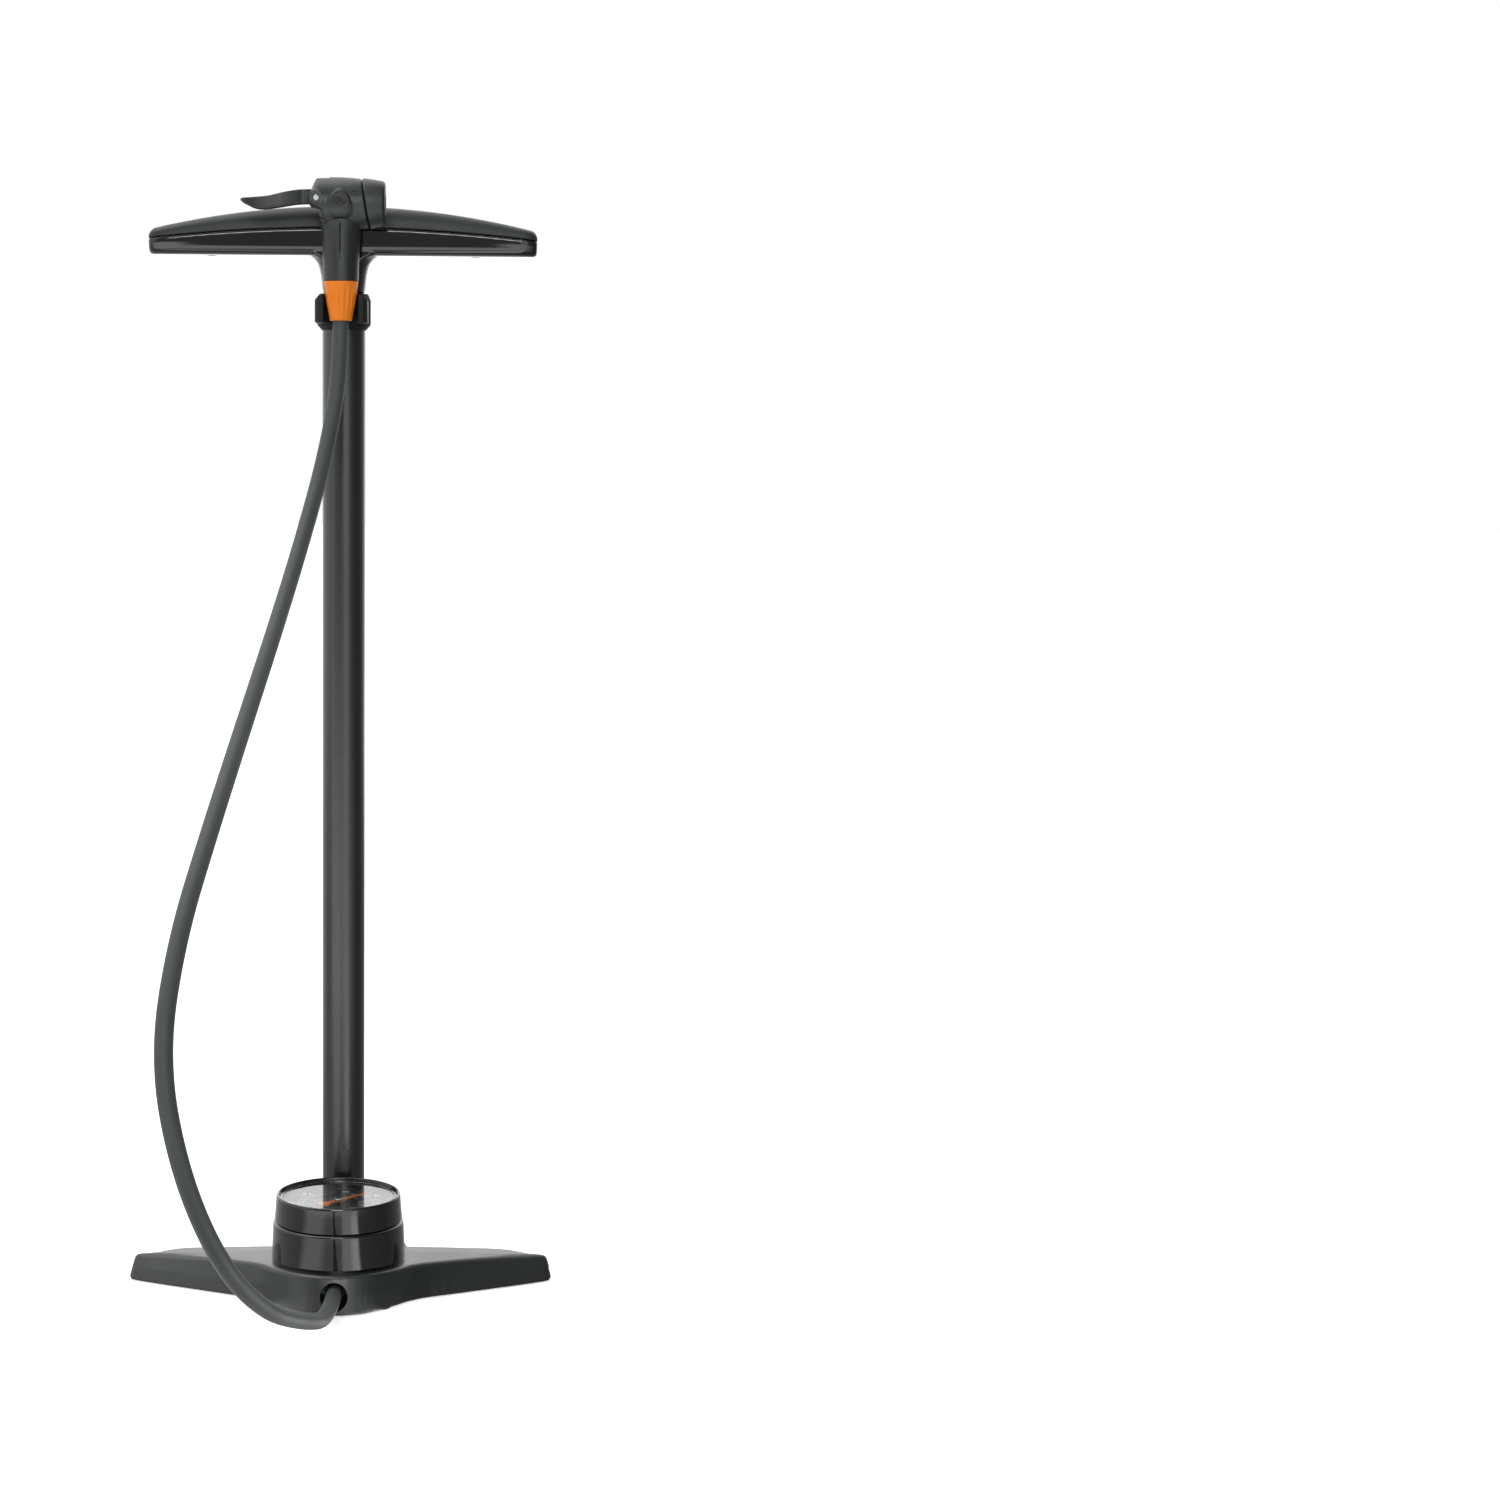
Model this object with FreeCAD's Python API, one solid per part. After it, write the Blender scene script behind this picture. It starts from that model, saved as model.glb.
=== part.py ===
"""Floor bicycle pump: wing base with a gauge, barrel, cross handle, hose and thumb-lever valve head.

Frame: +Z up, the barrel axis is the Z axis, the floor is z = 0, and the gauge faces -Y. Millimetres.
Each function makes one sub-part and the last section writes each one to parts/NODE.step.
"""
import FreeCAD
import Part
import math
import os
from FreeCAD import Vector

# ---------------------------------------------------------------- clearances
RUNNING = 0.05           # radial gap of a sliding or turning fit
SEAT = 0.02              # gap of a fixed piece dropped into its seat
FREE = 0.3               # gap between pieces that must never touch

# ---------------------------------------------------------------- barrel and pump mechanism
BARREL_OD = 26.0
BARREL_WALL = 1.5
BARREL_BOTTOM = 18.0
BARREL_LENGTH = 580.0
ROD_OD = 12.0
ROD_WALL = 1.5
STROKE = 480.0           # handle travel
CAP_OD = 32.5
CAP_SKIRT = 16.0         # how far the cap reaches down the barrel
CAP_LID = 6.0            # cap material above the barrel's end
BUSH_HEIGHT = 18.0
PISTON_HEIGHT = 16.0
BUFFER_HEIGHT = 10.0

# ---------------------------------------------------------------- handle
HANDLE_WIDTH = 238.0
HANDLE_DEPTH = 30.0
HANDLE_HEIGHT = 29.9     # underside to crown at the middle
HANDLE_DROP = 13.6       # how much lower the crown is near the ends
HANDLE_WALL = 2.6
COLUMN_OD = 26.0
COLUMN_HEIGHT = 22.5     # cap to handle underside
BADGE_OD = 31.0
HANDLE_SCREW_X = 80.0

# ---------------------------------------------------------------- valve head, parked in front of the handle
HEAD_Y = -33.0
HEAD_RISE = 51.8         # barrel cap to head axis
HEAD_OD = 30.6
HEAD_TAPER = 1.6         # the end cap narrows by this much a side
HEAD_LEFT = -18.3
HEAD_PARTING = 16.0      # where the end cap starts
HEAD_RIGHT = 26.5
MOUTH_R = 4.1            # valve mouth
SEAL_OD = 21.0
SEAL_THICK = 6.0
PLUNGER_OD = 18.0
NECK_TOP_OD = 25.6
NECK_BOTTOM_OD = 21.4
NECK_RISE = 6.0          # barrel cap to the neck's lower end
COLLAR_LENGTH = 23.5
COLLAR_BOTTOM_OD = 13.5
PIVOT_X = -14.0
PIVOT_RISE = 2.4         # lever pivot above the head axis
PIN_D = 3.0
CAM_R = 4.5              # cam radius with the lever down
CAM_LIFT = 2.5           # plunger travel over the lever's quarter turn
LEVER_ROOT = 10.8        # lever width in the head
LEVER_LOOP = 16.0        # lever width at the finger loop
BADGE_X = 0.4            # small round badge on the head
BADGE_R = 4.0

# ---------------------------------------------------------------- hose
HOSE_OD = 9.5
HOSE_BORE = 5.0
PORT_Z = 11.0            # hose port height
PORT_D = 16.5

# ---------------------------------------------------------------- gauge
GAUGE_Y = -56.0
BEZEL_OD = 77.0
BEZEL_TOP = 61.0
GROOVE_Z = 44.8          # joint between bezel and housing
HOUSING_OD = 79.2
HOUSING_FOOT_OD = 81.0
HOUSING_BOTTOM = 23.0
GAUGE_WALL = 2.6
DIAL_Z = 53.0
DIAL_THICK = 1.0
LENS_THICK = 2.0
POINTER_Z = 55.3
POINTER_THICK = 0.8
POINTER_CLEAR = 5.9      # pointer tip to the bezel's inner lip
POINTER_TAIL = 13.0
ZERO_ANGLE = 45.0        # plan angle of the pointer at no pressure
BOURDON_CLEAR = 8.3      # housing wall to the pressure tube's middle
SECTOR_CLEAR = 9.0       # pressure tube's middle to the sector's pivot
PLATE_CLEAR = 6.0        # pressure tube's middle to the movement plates' edge
PILLAR_INSET = 4.0       # movement plates' edge to the third pillar's middle
PINION_R = 1.6

# ---------------------------------------------------------------- base
BASE_HALF_SPAN = 129.0
BULGE_R = 49.0           # round front of the base about the gauge
FLOOR_GAP = 0.5          # the moulding stands this high on its pads
PAD_THICK = 2.5
BASE_FLOOR = 5.0         # top of the base's floor under the manifold
WING_ROOT_Z = 22.0       # wing top near the gauge
WING_TIP_Z = 14.5        # wing top at the tips
WING_WALL = 3.0
SHROUD_TOP = 57.0
SHROUD_WALL = 3.5
MANIFOLD_WIDTH = 26.0
MANIFOLD_TOP = 17.0
FERRULE_FRONT = -88.0

# ---------------------------------------------------------------- worked-out places
BARREL_R = BARREL_OD / 2
BORE_R = BARREL_R - BARREL_WALL
BARREL_TOP = BARREL_BOTTOM + BARREL_LENGTH
CAP_TOP = BARREL_TOP + CAP_LID
HANDLE_Z = CAP_TOP + COLUMN_HEIGHT
HANDLE_TOP = HANDLE_Z + HANDLE_HEIGHT
BUSH_BOTTOM = BARREL_TOP - BUSH_HEIGHT
BUFFER_TOP = BUSH_BOTTOM - STROKE - FREE
PISTON_TOP = BUFFER_TOP - BUFFER_HEIGHT
PISTON_BOTTOM = PISTON_TOP - PISTON_HEIGHT
HEAD_Z = CAP_TOP + HEAD_RISE
NECK_BOTTOM = CAP_TOP + NECK_RISE
COLLAR_BOTTOM = NECK_BOTTOM - COLLAR_LENGTH
PIVOT_Z = HEAD_Z + PIVOT_RISE
BADGE_Z = HEAD_Z + 1.2
PLUNGER_BACK = PIVOT_X + CAM_R + 0.2
SEAL_BACK = HEAD_PARTING - 6.0 - SEAL_THICK
LENS_TOP = BEZEL_TOP - 1.0
HOUSING_BORE_R = BEZEL_OD / 2 - 2 * GAUGE_WALL
BOURDON_R = HOUSING_BORE_R - BOURDON_CLEAR
GEAR_CENTRES = BOURDON_R - SECTOR_CLEAR
BEZEL_LIP_R = BEZEL_OD / 2 - GAUGE_WALL - 1.0
POINTER_REACH = BEZEL_LIP_R - POINTER_CLEAR


# ---------------------------------------------------------------- small makers
def rod(radius, z0, z1, x=0.0, y=0.0):
    """Upright cylinder."""
    return Part.makeCylinder(radius, z1 - z0, Vector(x, y, z0))


def rod_along(radius, start, end):
    """Cylinder from one point to another."""
    line = end - start
    return Part.makeCylinder(radius, line.Length, start, line)


def tube(outer, inner, z0, z1, x=0.0, y=0.0):
    """Upright hollow cylinder."""
    return rod(outer, z0, z1, x, y).cut(rod(inner, z0 - 1, z1 + 1, x, y))


def block(x0, x1, y0, y1, z0, z1):
    """Box from its six limits."""
    return Part.makeBox(x1 - x0, y1 - y0, z1 - z0, Vector(x0, y0, z0))


def lathe(profile, x=0.0, y=0.0):
    """Solid of revolution about an upright axis from (radius, z) points."""
    corners = [Vector(x + radius, y, z) for radius, z in profile]
    face = Part.Face(Part.makePolygon(corners + corners[:1]))
    return face.revolve(Vector(x, y, 0), Vector(0, 0, 1), 360)


def lathe_x(profile, y, z):
    """Solid of revolution about a line along X from (x, radius) points."""
    corners = [Vector(x, y, z + radius) for x, radius in profile]
    face = Part.Face(Part.makePolygon(corners + corners[:1]))
    return face.revolve(Vector(0, y, z), Vector(1, 0, 0), 360)


def spline(points):
    """Smooth edge through the points."""
    curve = Part.BSplineCurve()
    curve.interpolate(points)
    return curve.toShape()


def arc(start, middle, end):
    return Part.Arc(start, middle, end).toShape()


def line(start, end):
    return Part.LineSegment(start, end).toShape()


def mirrored_x(shape):
    return shape.mirror(Vector(0, 0, 0), Vector(1, 0, 0))


def joined(shapes):
    """One solid from overlapping ones."""
    whole = shapes[0]
    for shape in shapes[1:]:
        whole = whole.fuse(shape)
    return whole.removeSplitter()


def group(shapes):
    """Separate solids kept in one node."""
    return Part.makeCompound(shapes)


# ---------------------------------------------------------------- base
def base_plan():
    """Outline of the base seen from above: two swept wings, the round front and the barrel's foot."""
    half = [
        (38.5, -86.0), (51.0, -74.0), (BASE_HALF_SPAN * 0.58, -62.0), (BASE_HALF_SPAN * 0.95, -38.5),
    ]
    tip = [(BASE_HALF_SPAN, -33.0), (BASE_HALF_SPAN * 0.985, -27.0)]
    shoulder = [(BASE_HALF_SPAN * 0.875, -10.0), (BASE_HALF_SPAN * 0.83, -6.5)]
    back = [(45.0, -12.0), (27.0, 9.0)]
    edges = []
    for side in (1, -1):
        run = [Vector(side * x, y, 0) for x, y in half]
        end = [Vector(side * x, y, 0) for x, y in tip]
        turn = [Vector(side * x, y, 0) for x, y in shoulder]
        rear = [Vector(side * x, y, 0) for x, y in back]
        knee = Vector(side * (BASE_HALF_SPAN * 0.872), -6.0, 0)
        edges += [
            spline(run),
            arc(run[-1], Vector(side * (BASE_HALF_SPAN - 1.2), -36.2, 0), end[0]),
            arc(end[0], Vector(side * (BASE_HALF_SPAN + 0.1), -29.8, 0), end[1]),
            line(end[1], turn[0]),
            arc(turn[0], knee, turn[1]),
            line(turn[1], rear[0]),
            line(rear[0], rear[1]),
        ]
    left, right = Vector(-38.5, -86.0, 0), Vector(38.5, -86.0, 0)
    edges.append(arc(left, Vector(0, GAUGE_Y - BULGE_R, 0), right))
    edges.append(arc(Vector(27.0, 9.0, 0), Vector(0, 24.0, 0), Vector(-27.0, 9.0, 0)))
    return Part.Face(Part.Wire(Part.__sortEdges__(edges)))


def wing_top(drop):
    """Slab under the wings' top surface, which falls to the tips and leans back, lowered by drop."""
    far = BASE_HALF_SPAN + 12
    middle = (WING_ROOT_Z + WING_TIP_Z) / 2 - 1.6
    sag = arc(
        Vector(BULGE_R, -130, WING_ROOT_Z - drop),
        Vector((BULGE_R + far) / 2, -130, middle - drop),
        Vector(far, -130, WING_TIP_Z - 0.8 - drop),
    )
    sides = [
        line(Vector(-BULGE_R, -130, WING_ROOT_Z - drop), Vector(BULGE_R, -130, WING_ROOT_Z - drop)),
        sag,
        line(Vector(far, -130, WING_TIP_Z - 0.8 - drop), Vector(far, -130, -20)),
        line(Vector(far, -130, -20), Vector(-far, -130, -20)),
        line(Vector(-far, -130, -20), Vector(-far, -130, WING_TIP_Z - 0.8 - drop)),
        mirrored_x(sag),
    ]
    slab = Part.Face(Part.Wire(Part.__sortEdges__(sides))).extrude(Vector(0, 180, 0))
    slab.rotate(Vector(0, GAUGE_Y, WING_ROOT_Z), Vector(1, 0, 0), -4.0)
    return slab


def oval(half_x, front, rear, z):
    """Rounded section of the shroud: wide in X, from front to rear in Y."""
    centre = Vector(0, (front + rear) / 2, z)
    half_y = (rear - front) / 2
    if half_x >= half_y:
        curve = Part.Ellipse(centre, half_x, half_y)
    else:
        curve = Part.Ellipse(centre, half_y, half_x)
        curve.rotate(FreeCAD.Placement(Vector(0, 0, 0), Vector(0, 0, 1), 90, centre))
    return Part.Wire(curve.toShape())


def shroud():
    """Bell that rises from the wings to grip the barrel."""
    neck = BARREL_R + SHROUD_WALL
    sections = [
        oval(43.0, -34.0, 24.5, 9.0),
        oval(36.5, -32.0, 23.5, 19.0),
        oval(29.5, -28.0, 21.5, 30.0),
        oval(21.5, -22.0, neck + 2.0, 45.0),
        oval(neck + 0.2, -neck - 0.2, neck, SHROUD_TOP),
    ]
    return Part.makeLoft(sections, True, False)


def base_body():
    plan = base_plan().extrude(Vector(0, 0, 60))
    plan.translate(Vector(0, 0, FLOOR_GAP))
    slab = plan.common(wing_top(0))
    outer = joined([slab, shroud()])
    pockets = wing_pockets()
    seat_r = HOUSING_FOOT_OD / 2 + SEAT
    cuts = [
        rod(seat_r, HOUSING_BOTTOM, 90, 0, GAUGE_Y),
        rod(HOUSING_FOOT_OD / 2 - 6, BASE_FLOOR, 90, 0, GAUGE_Y),
        rod(BARREL_R + SEAT, MANIFOLD_TOP, 90),
        manifold_space(),
        rod_along(PORT_D / 2, Vector(0, -120, PORT_Z), Vector(0, FERRULE_FRONT + 10, PORT_Z)),
        pockets,
    ]
    cuts += [rod(r, -1, PAD_THICK, x, y) for r, x, y in pad_places()]
    cuts += [rod(1.5 + SEAT, 0, BASE_FLOOR + 1, x, y) for x, y in manifold_screw_places()]
    cuts += [rod(3.2 + SEAT, 0, 3.4, x, y) for x, y in manifold_screw_places()]
    for cut in cuts:
        outer = outer.cut(cut)
    return outer.removeSplitter()


def wing_pockets():
    """Hollows under the two wings, open to the floor, with a wall all round."""
    outline = [
        (54.0, -66.0), (BASE_HALF_SPAN - 10, -37.0), (BASE_HALF_SPAN - 6, -31.0),
        (BASE_HALF_SPAN * 0.84, -10.5), (54.0, -14.0),
    ]
    corners = [Vector(x, y, -1) for x, y in outline]
    prism = Part.Face(Part.makePolygon(corners + corners[:1])).extrude(Vector(0, 0, 40))
    pocket = prism.common(wing_top(WING_WALL))
    pocket = pocket.cut(rod(13, -2, 60, BASE_HALF_SPAN - 21, -27))
    return group([pocket, mirrored_x(pocket)])


def pad_places():
    """Radius and plan place of each rubber pad."""
    return [
        (11.0, 0.0, 0.0),
        (10.0, BASE_HALF_SPAN - 21, -27.0),
        (10.0, -(BASE_HALF_SPAN - 21), -27.0),
        (7.0, 26.0, -88.0),
        (7.0, -26.0, -88.0),
    ]


def foot_pads():
    return group([rod(r - SEAT, 0, PAD_THICK - SEAT, x, y) for r, x, y in pad_places()])


# ---------------------------------------------------------------- air passages in the base
def manifold_body(grow):
    """Block that carries the barrel and leads the air forward, larger all round by grow."""
    half = MANIFOLD_WIDTH / 2 + grow
    beam = block(-half, half, FERRULE_FRONT + 10 - grow, 0, BASE_FLOOR, MANIFOLD_TOP)
    return beam.fuse(rod(half + 2, BASE_FLOOR, MANIFOLD_TOP))


def manifold_space():
    return manifold_body(SEAT)


def manifold_screw_places():
    return [(9.0, -30.0), (-9.0, -30.0), (9.0, -66.0), (-9.0, -66.0)]


def manifold_block():
    spigot = rod(BORE_R - SEAT, MANIFOLD_TOP, 32)
    body = joined([manifold_body(0), spigot])
    groove = tube(BORE_R + 1, BORE_R - 2.2, 24, 27)
    cuts = [
        groove,
        rod(8 + SEAT, 28, 33),
        rod(5.5, 9.5, 33),
        rod_along(1.5, Vector(0, 0, PORT_Z), Vector(0, -90, PORT_Z)),
        rod(1.5, PORT_Z, 30, 0, GAUGE_Y + BOURDON_R),
        rod(3 + SEAT, 13, 30, 0, GAUGE_Y + BOURDON_R),
        rod_along(3.5 + SEAT, Vector(0, -74, PORT_Z), Vector(0, -90, PORT_Z)),
    ]
    cuts += [rod(1.5, -1, 13, x, y) for x, y in manifold_screw_places()]
    for cut in cuts:
        body = body.cut(cut)
    return body


def manifold_screws():
    """Pan-head screws from below through the base floor."""
    screws = []
    for x, y in manifold_screw_places():
        head = rod(3.2, 1.6, 3.4, x, y)
        shank = rod(1.5 - SEAT, 3.4, 12.5, x, y)
        slot = block(x - 3, x + 3, y - 0.4, y + 0.4, 1, 2.2)
        screws.append(head.fuse(shank).cut(slot))
    return group(screws)


def barrel_o_ring():
    ring = Part.makeTorus(BORE_R - 1.1, 1.05, Vector(0, 0, 25.5))
    return ring


def check_valve_seat():
    return tube(8, 2.5, 28, 32)


def check_valve_poppet():
    disc = rod(4.4, 26.4, 28 - RUNNING)
    stem = rod(1.2, 20, 26.4)
    return disc.fuse(stem)


def check_valve_spring():
    """Open coil under the poppet disc."""
    radius, wire, turns = 3.2, 0.35, 5
    low, high = 9.5 + wire, 26.4 - wire
    helix = Part.makeHelix((high - low) / turns, high - low, radius)
    helix.translate(Vector(0, 0, low))
    section = Part.Wire(Part.Circle(Vector(radius, 0, low), Vector(0, 1, 0), wire).toShape())
    return Part.Wire(helix.Edges).makePipeShell([section], True, True)


def hose_ferrule():
    """Crimped sleeve and spigot that hold the hose to the manifold."""
    sleeve = rod_along(6.8, Vector(0, FERRULE_FRONT, PORT_Z), Vector(0, FERRULE_FRONT + 10 - SEAT, PORT_Z))
    spigot = rod_along(3.5, Vector(0, FERRULE_FRONT + 9, PORT_Z), Vector(0, -74.5, PORT_Z))
    bore = rod_along(1.5, Vector(0, FERRULE_FRONT - 1, PORT_Z), Vector(0, -70, PORT_Z))
    return sleeve.fuse(spigot).cut(bore)


# ---------------------------------------------------------------- gauge
def gauge_housing():
    floor = HOUSING_BOTTOM
    wall = GAUGE_WALL
    profile = [
        (0, floor), (HOUSING_FOOT_OD / 2, floor), (HOUSING_OD / 2, GROOVE_Z - 1.2),
        (HOUSING_OD / 2 - 1.2, GROOVE_Z), (HOUSING_BORE_R, GROOVE_Z),
        (HOUSING_BORE_R, floor + wall), (0, floor + wall),
    ]
    cup = lathe(profile, 0, GAUGE_Y)
    for x, y in pillar_places():
        cup = cup.cut(rod(1.1, floor - 1, floor + wall + 1, x, y))
    return cup.cut(rod(5.0, floor - 1, floor + wall + 1, 0, GAUGE_Y + BOURDON_R))


def gauge_bezel():
    r, wall = BEZEL_OD / 2, GAUGE_WALL
    profile = [
        (r, GROOVE_Z + 0.8), (r, BEZEL_TOP - 1.2), (r - 1.0, BEZEL_TOP), (r - 1.9, BEZEL_TOP),
        (r - wall, LENS_TOP), (r - wall, LENS_TOP - LENS_THICK), (BEZEL_LIP_R, LENS_TOP - LENS_THICK),
        (BEZEL_LIP_R, DIAL_Z + DIAL_THICK), (r - wall, DIAL_Z + DIAL_THICK), (r - wall, GROOVE_Z),
        (r - 1.2, GROOVE_Z),
    ]
    return lathe(profile, 0, GAUGE_Y)


def gauge_lens():
    r = BEZEL_OD / 2 - GAUGE_WALL - SEAT
    return rod(r, LENS_TOP - LENS_THICK + SEAT, LENS_TOP, 0, GAUGE_Y)


def dial_plate():
    r = BEZEL_OD / 2 - GAUGE_WALL - SEAT
    plate = rod(r, DIAL_Z, DIAL_Z + DIAL_THICK - SEAT, 0, GAUGE_Y)
    plate = plate.cut(rod(2.4, DIAL_Z - 1, DIAL_Z + 2, 0, GAUGE_Y))
    for x, y in pillar_places()[:2]:
        plate = plate.cut(rod(0.9, DIAL_Z - 1, DIAL_Z + 2, x, y))
    return plate


def pillar_places():
    """Gauge pillars: the first two carry the dial screws."""
    third = BOURDON_R - PLATE_CLEAR - PILLAR_INSET
    return [(4.3, GAUGE_Y + 12.5), (-4.3, GAUGE_Y + 12.5), (0.8 * third, GAUGE_Y - 0.6 * third)]


def dial_screws():
    screws = []
    for x, y in pillar_places()[:2]:
        head = rod(1.7, DIAL_Z + DIAL_THICK, DIAL_Z + DIAL_THICK + 0.9, x, y)
        shank = rod(0.8, DIAL_Z - 3, DIAL_Z + DIAL_THICK, x, y)
        slot = block(x - 2, x + 2, y - 0.25, y + 0.25, DIAL_Z + DIAL_THICK + 0.5, DIAL_Z + 3)
        screws.append(head.fuse(shank).cut(slot))
    return group(screws)


def movement_frame():
    """Two round plates on three pillars that stand on the housing floor."""
    floor = HOUSING_BOTTOM + GAUGE_WALL
    plate_r = BOURDON_R - PLATE_CLEAR
    plates = [rod(plate_r, 33, 34, 0, GAUGE_Y), rod(plate_r, 41, 42, 0, GAUGE_Y)]
    pillars = [rod(2.0, floor, 42, x, y) for x, y in pillar_places()]
    pillars += [rod(2.0, 42, DIAL_Z - SEAT, x, y) for x, y in pillar_places()[:2]]
    frame = joined(plates + pillars)
    frame = frame.cut(rod(1.0 + RUNNING, 30, 45, 0, GAUGE_Y))
    sector = sector_pivot()
    frame = frame.cut(rod(1.0 + RUNNING, 30, 45, sector.x, sector.y))
    for x, y in pillar_places()[:2]:
        frame = frame.cut(rod(0.9, DIAL_Z - 3.5, DIAL_Z + 1, x, y))
    return frame


def sector_pivot():
    angle = math.radians(205)
    return Vector(GEAR_CENTRES * math.cos(angle), GAUGE_Y + GEAR_CENTRES * math.sin(angle), 0)


def toothed_disc(radius, depth, count, z0, z1, x, y):
    """Disc with square-cut teeth round its edge."""
    disc = rod(radius, z0, z1, x, y)
    gap = math.pi * radius / count
    for index in range(count):
        angle = math.degrees(2 * math.pi * index / count)
        notch = block(x + radius - depth, x + radius + 1, y - gap / 2, y + gap / 2, z0 - 1, z1 + 1)
        notch.rotate(Vector(x, y, 0), Vector(0, 0, 1), angle)
        disc = disc.cut(notch)
    return disc


def sector_gear():
    """Toothed sector on its own arbor; its teeth stop just short of the pinion's."""
    pivot = sector_pivot()
    radius = GEAR_CENTRES - PINION_R - 0.1
    disc = rod(radius, 36.5, 38, pivot.x, pivot.y)
    half_span = 26.0
    wedge_points = [
        pivot,
        pivot + Vector(40 * math.cos(math.radians(-half_span)), 40 * math.sin(math.radians(-half_span)), 0),
        pivot + Vector(40 * math.cos(math.radians(half_span)), 40 * math.sin(math.radians(half_span)), 0),
    ]
    wedge_face = Part.Face(Part.makePolygon(wedge_points + wedge_points[:1]))
    wedge = wedge_face.extrude(Vector(0, 0, 60))
    wedge.rotate(pivot, Vector(0, 0, 1), 205 - 180 - 15)
    sector = disc.common(wedge)
    pitch = math.degrees(PINION_R / radius) * 2 * math.pi / 8
    for index in range(-5, 6):
        notch = block(pivot.x + radius - 0.5, pivot.x + radius + 1, pivot.y - 0.3, pivot.y + 0.3, 30, 45)
        notch.rotate(pivot, Vector(0, 0, 1), 205 - 180 - 15 + index * pitch)
        sector = sector.cut(notch)
    hub = rod(2.4, 36.5, 38, pivot.x, pivot.y)
    tail = rod(1.4, 36.5, 38, pivot.x - 4.0, pivot.y - 2.0)
    bridge = block(-4.4, 0, -1.1, 1.1, 36.5, 38)
    bridge.rotate(Vector(0, 0, 0), Vector(0, 0, 1), 26.5)
    bridge.translate(Vector(pivot.x, pivot.y, 0))
    arbor = rod(1.0, 32.5, 42.5, pivot.x, pivot.y)
    return joined([sector, hub, tail, bridge, arbor])


def pointer_arbor():
    shaft = rod(1.0, 32.5, POINTER_Z - RUNNING, 0, GAUGE_Y)
    pinion = toothed_disc(PINION_R, 0.4, 8, 36.3, 38.2, 0, GAUGE_Y)
    spindle = rod(0.8, 36, POINTER_Z + 1.4, 0, GAUGE_Y)
    return joined([shaft, pinion, spindle])


def pointer():
    """Tapered blade with a flared tail, pointing along the zero mark."""
    outline = [
        (POINTER_REACH, 0.0), (3.6, 1.5), (2.4, 2.6), (-2.4, 2.6), (-6.0, 1.9),
        (-POINTER_TAIL, 5.2), (-POINTER_TAIL - 0.6, 0.0), (-POINTER_TAIL, -5.2),
        (-6.0, -1.9), (-2.4, -2.6), (2.4, -2.6), (3.6, -1.5),
    ]
    corners = [Vector(x, GAUGE_Y + y, POINTER_Z) for x, y in outline]
    blade = Part.Face(Part.makePolygon(corners + corners[:1])).extrude(Vector(0, 0, POINTER_THICK))
    blade = blade.cut(rod(0.8 + SEAT, 50, 60, 0, GAUGE_Y))
    blade.rotate(Vector(0, GAUGE_Y, 0), Vector(0, 0, 1), ZERO_ANGLE)
    return blade


def pointer_hub():
    top = POINTER_Z + POINTER_THICK
    cap = lathe([(0.82, top), (2.6, top), (2.6, top + 0.7), (2.1, top + 1.2), (0.82, top + 1.2)], 0, GAUGE_Y)
    return cap


def bourdon_tube():
    """C-shaped pressure tube: a flat section swept three quarters of the way round the movement."""
    section = block(BOURDON_R - 1.2, BOURDON_R + 1.2, -0.01, 0.01, 34.5, 40.5)
    face = max(section.Faces, key=lambda f: f.Area if abs(f.normalAt(0, 0).y) > 0.9 else 0)
    face = face.copy()
    face.translate(Vector(0, -face.CenterOfMass.y, 0))
    bend = face.revolve(Vector(0, 0, 0), Vector(0, 0, 1), 255)
    bend.rotate(Vector(0, 0, 0), Vector(0, 0, 1), 98)
    bend.translate(Vector(0, GAUGE_Y, 0))
    return bend


def gauge_socket():
    """Brass block that feeds the pressure tube, with its stem down into the manifold."""
    y = GAUGE_Y + BOURDON_R
    stem = rod(3.0, 13.5, 30, 0, y)
    collar = rod(4.6, MANIFOLD_TOP, HOUSING_BOTTOM + GAUGE_WALL, 0, y)
    head = block(-3.4, 4.0, y - 3.0, y + 3.0, HOUSING_BOTTOM + GAUGE_WALL, 41)
    bore = rod(1.2, 12, 37, 0, y)
    return joined([stem, collar, head]).cut(bore).cut(bourdon_tube())


# ---------------------------------------------------------------- barrel and piston
def barrel_tube():
    return tube(BARREL_R, BORE_R, BARREL_BOTTOM, BARREL_TOP)


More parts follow.
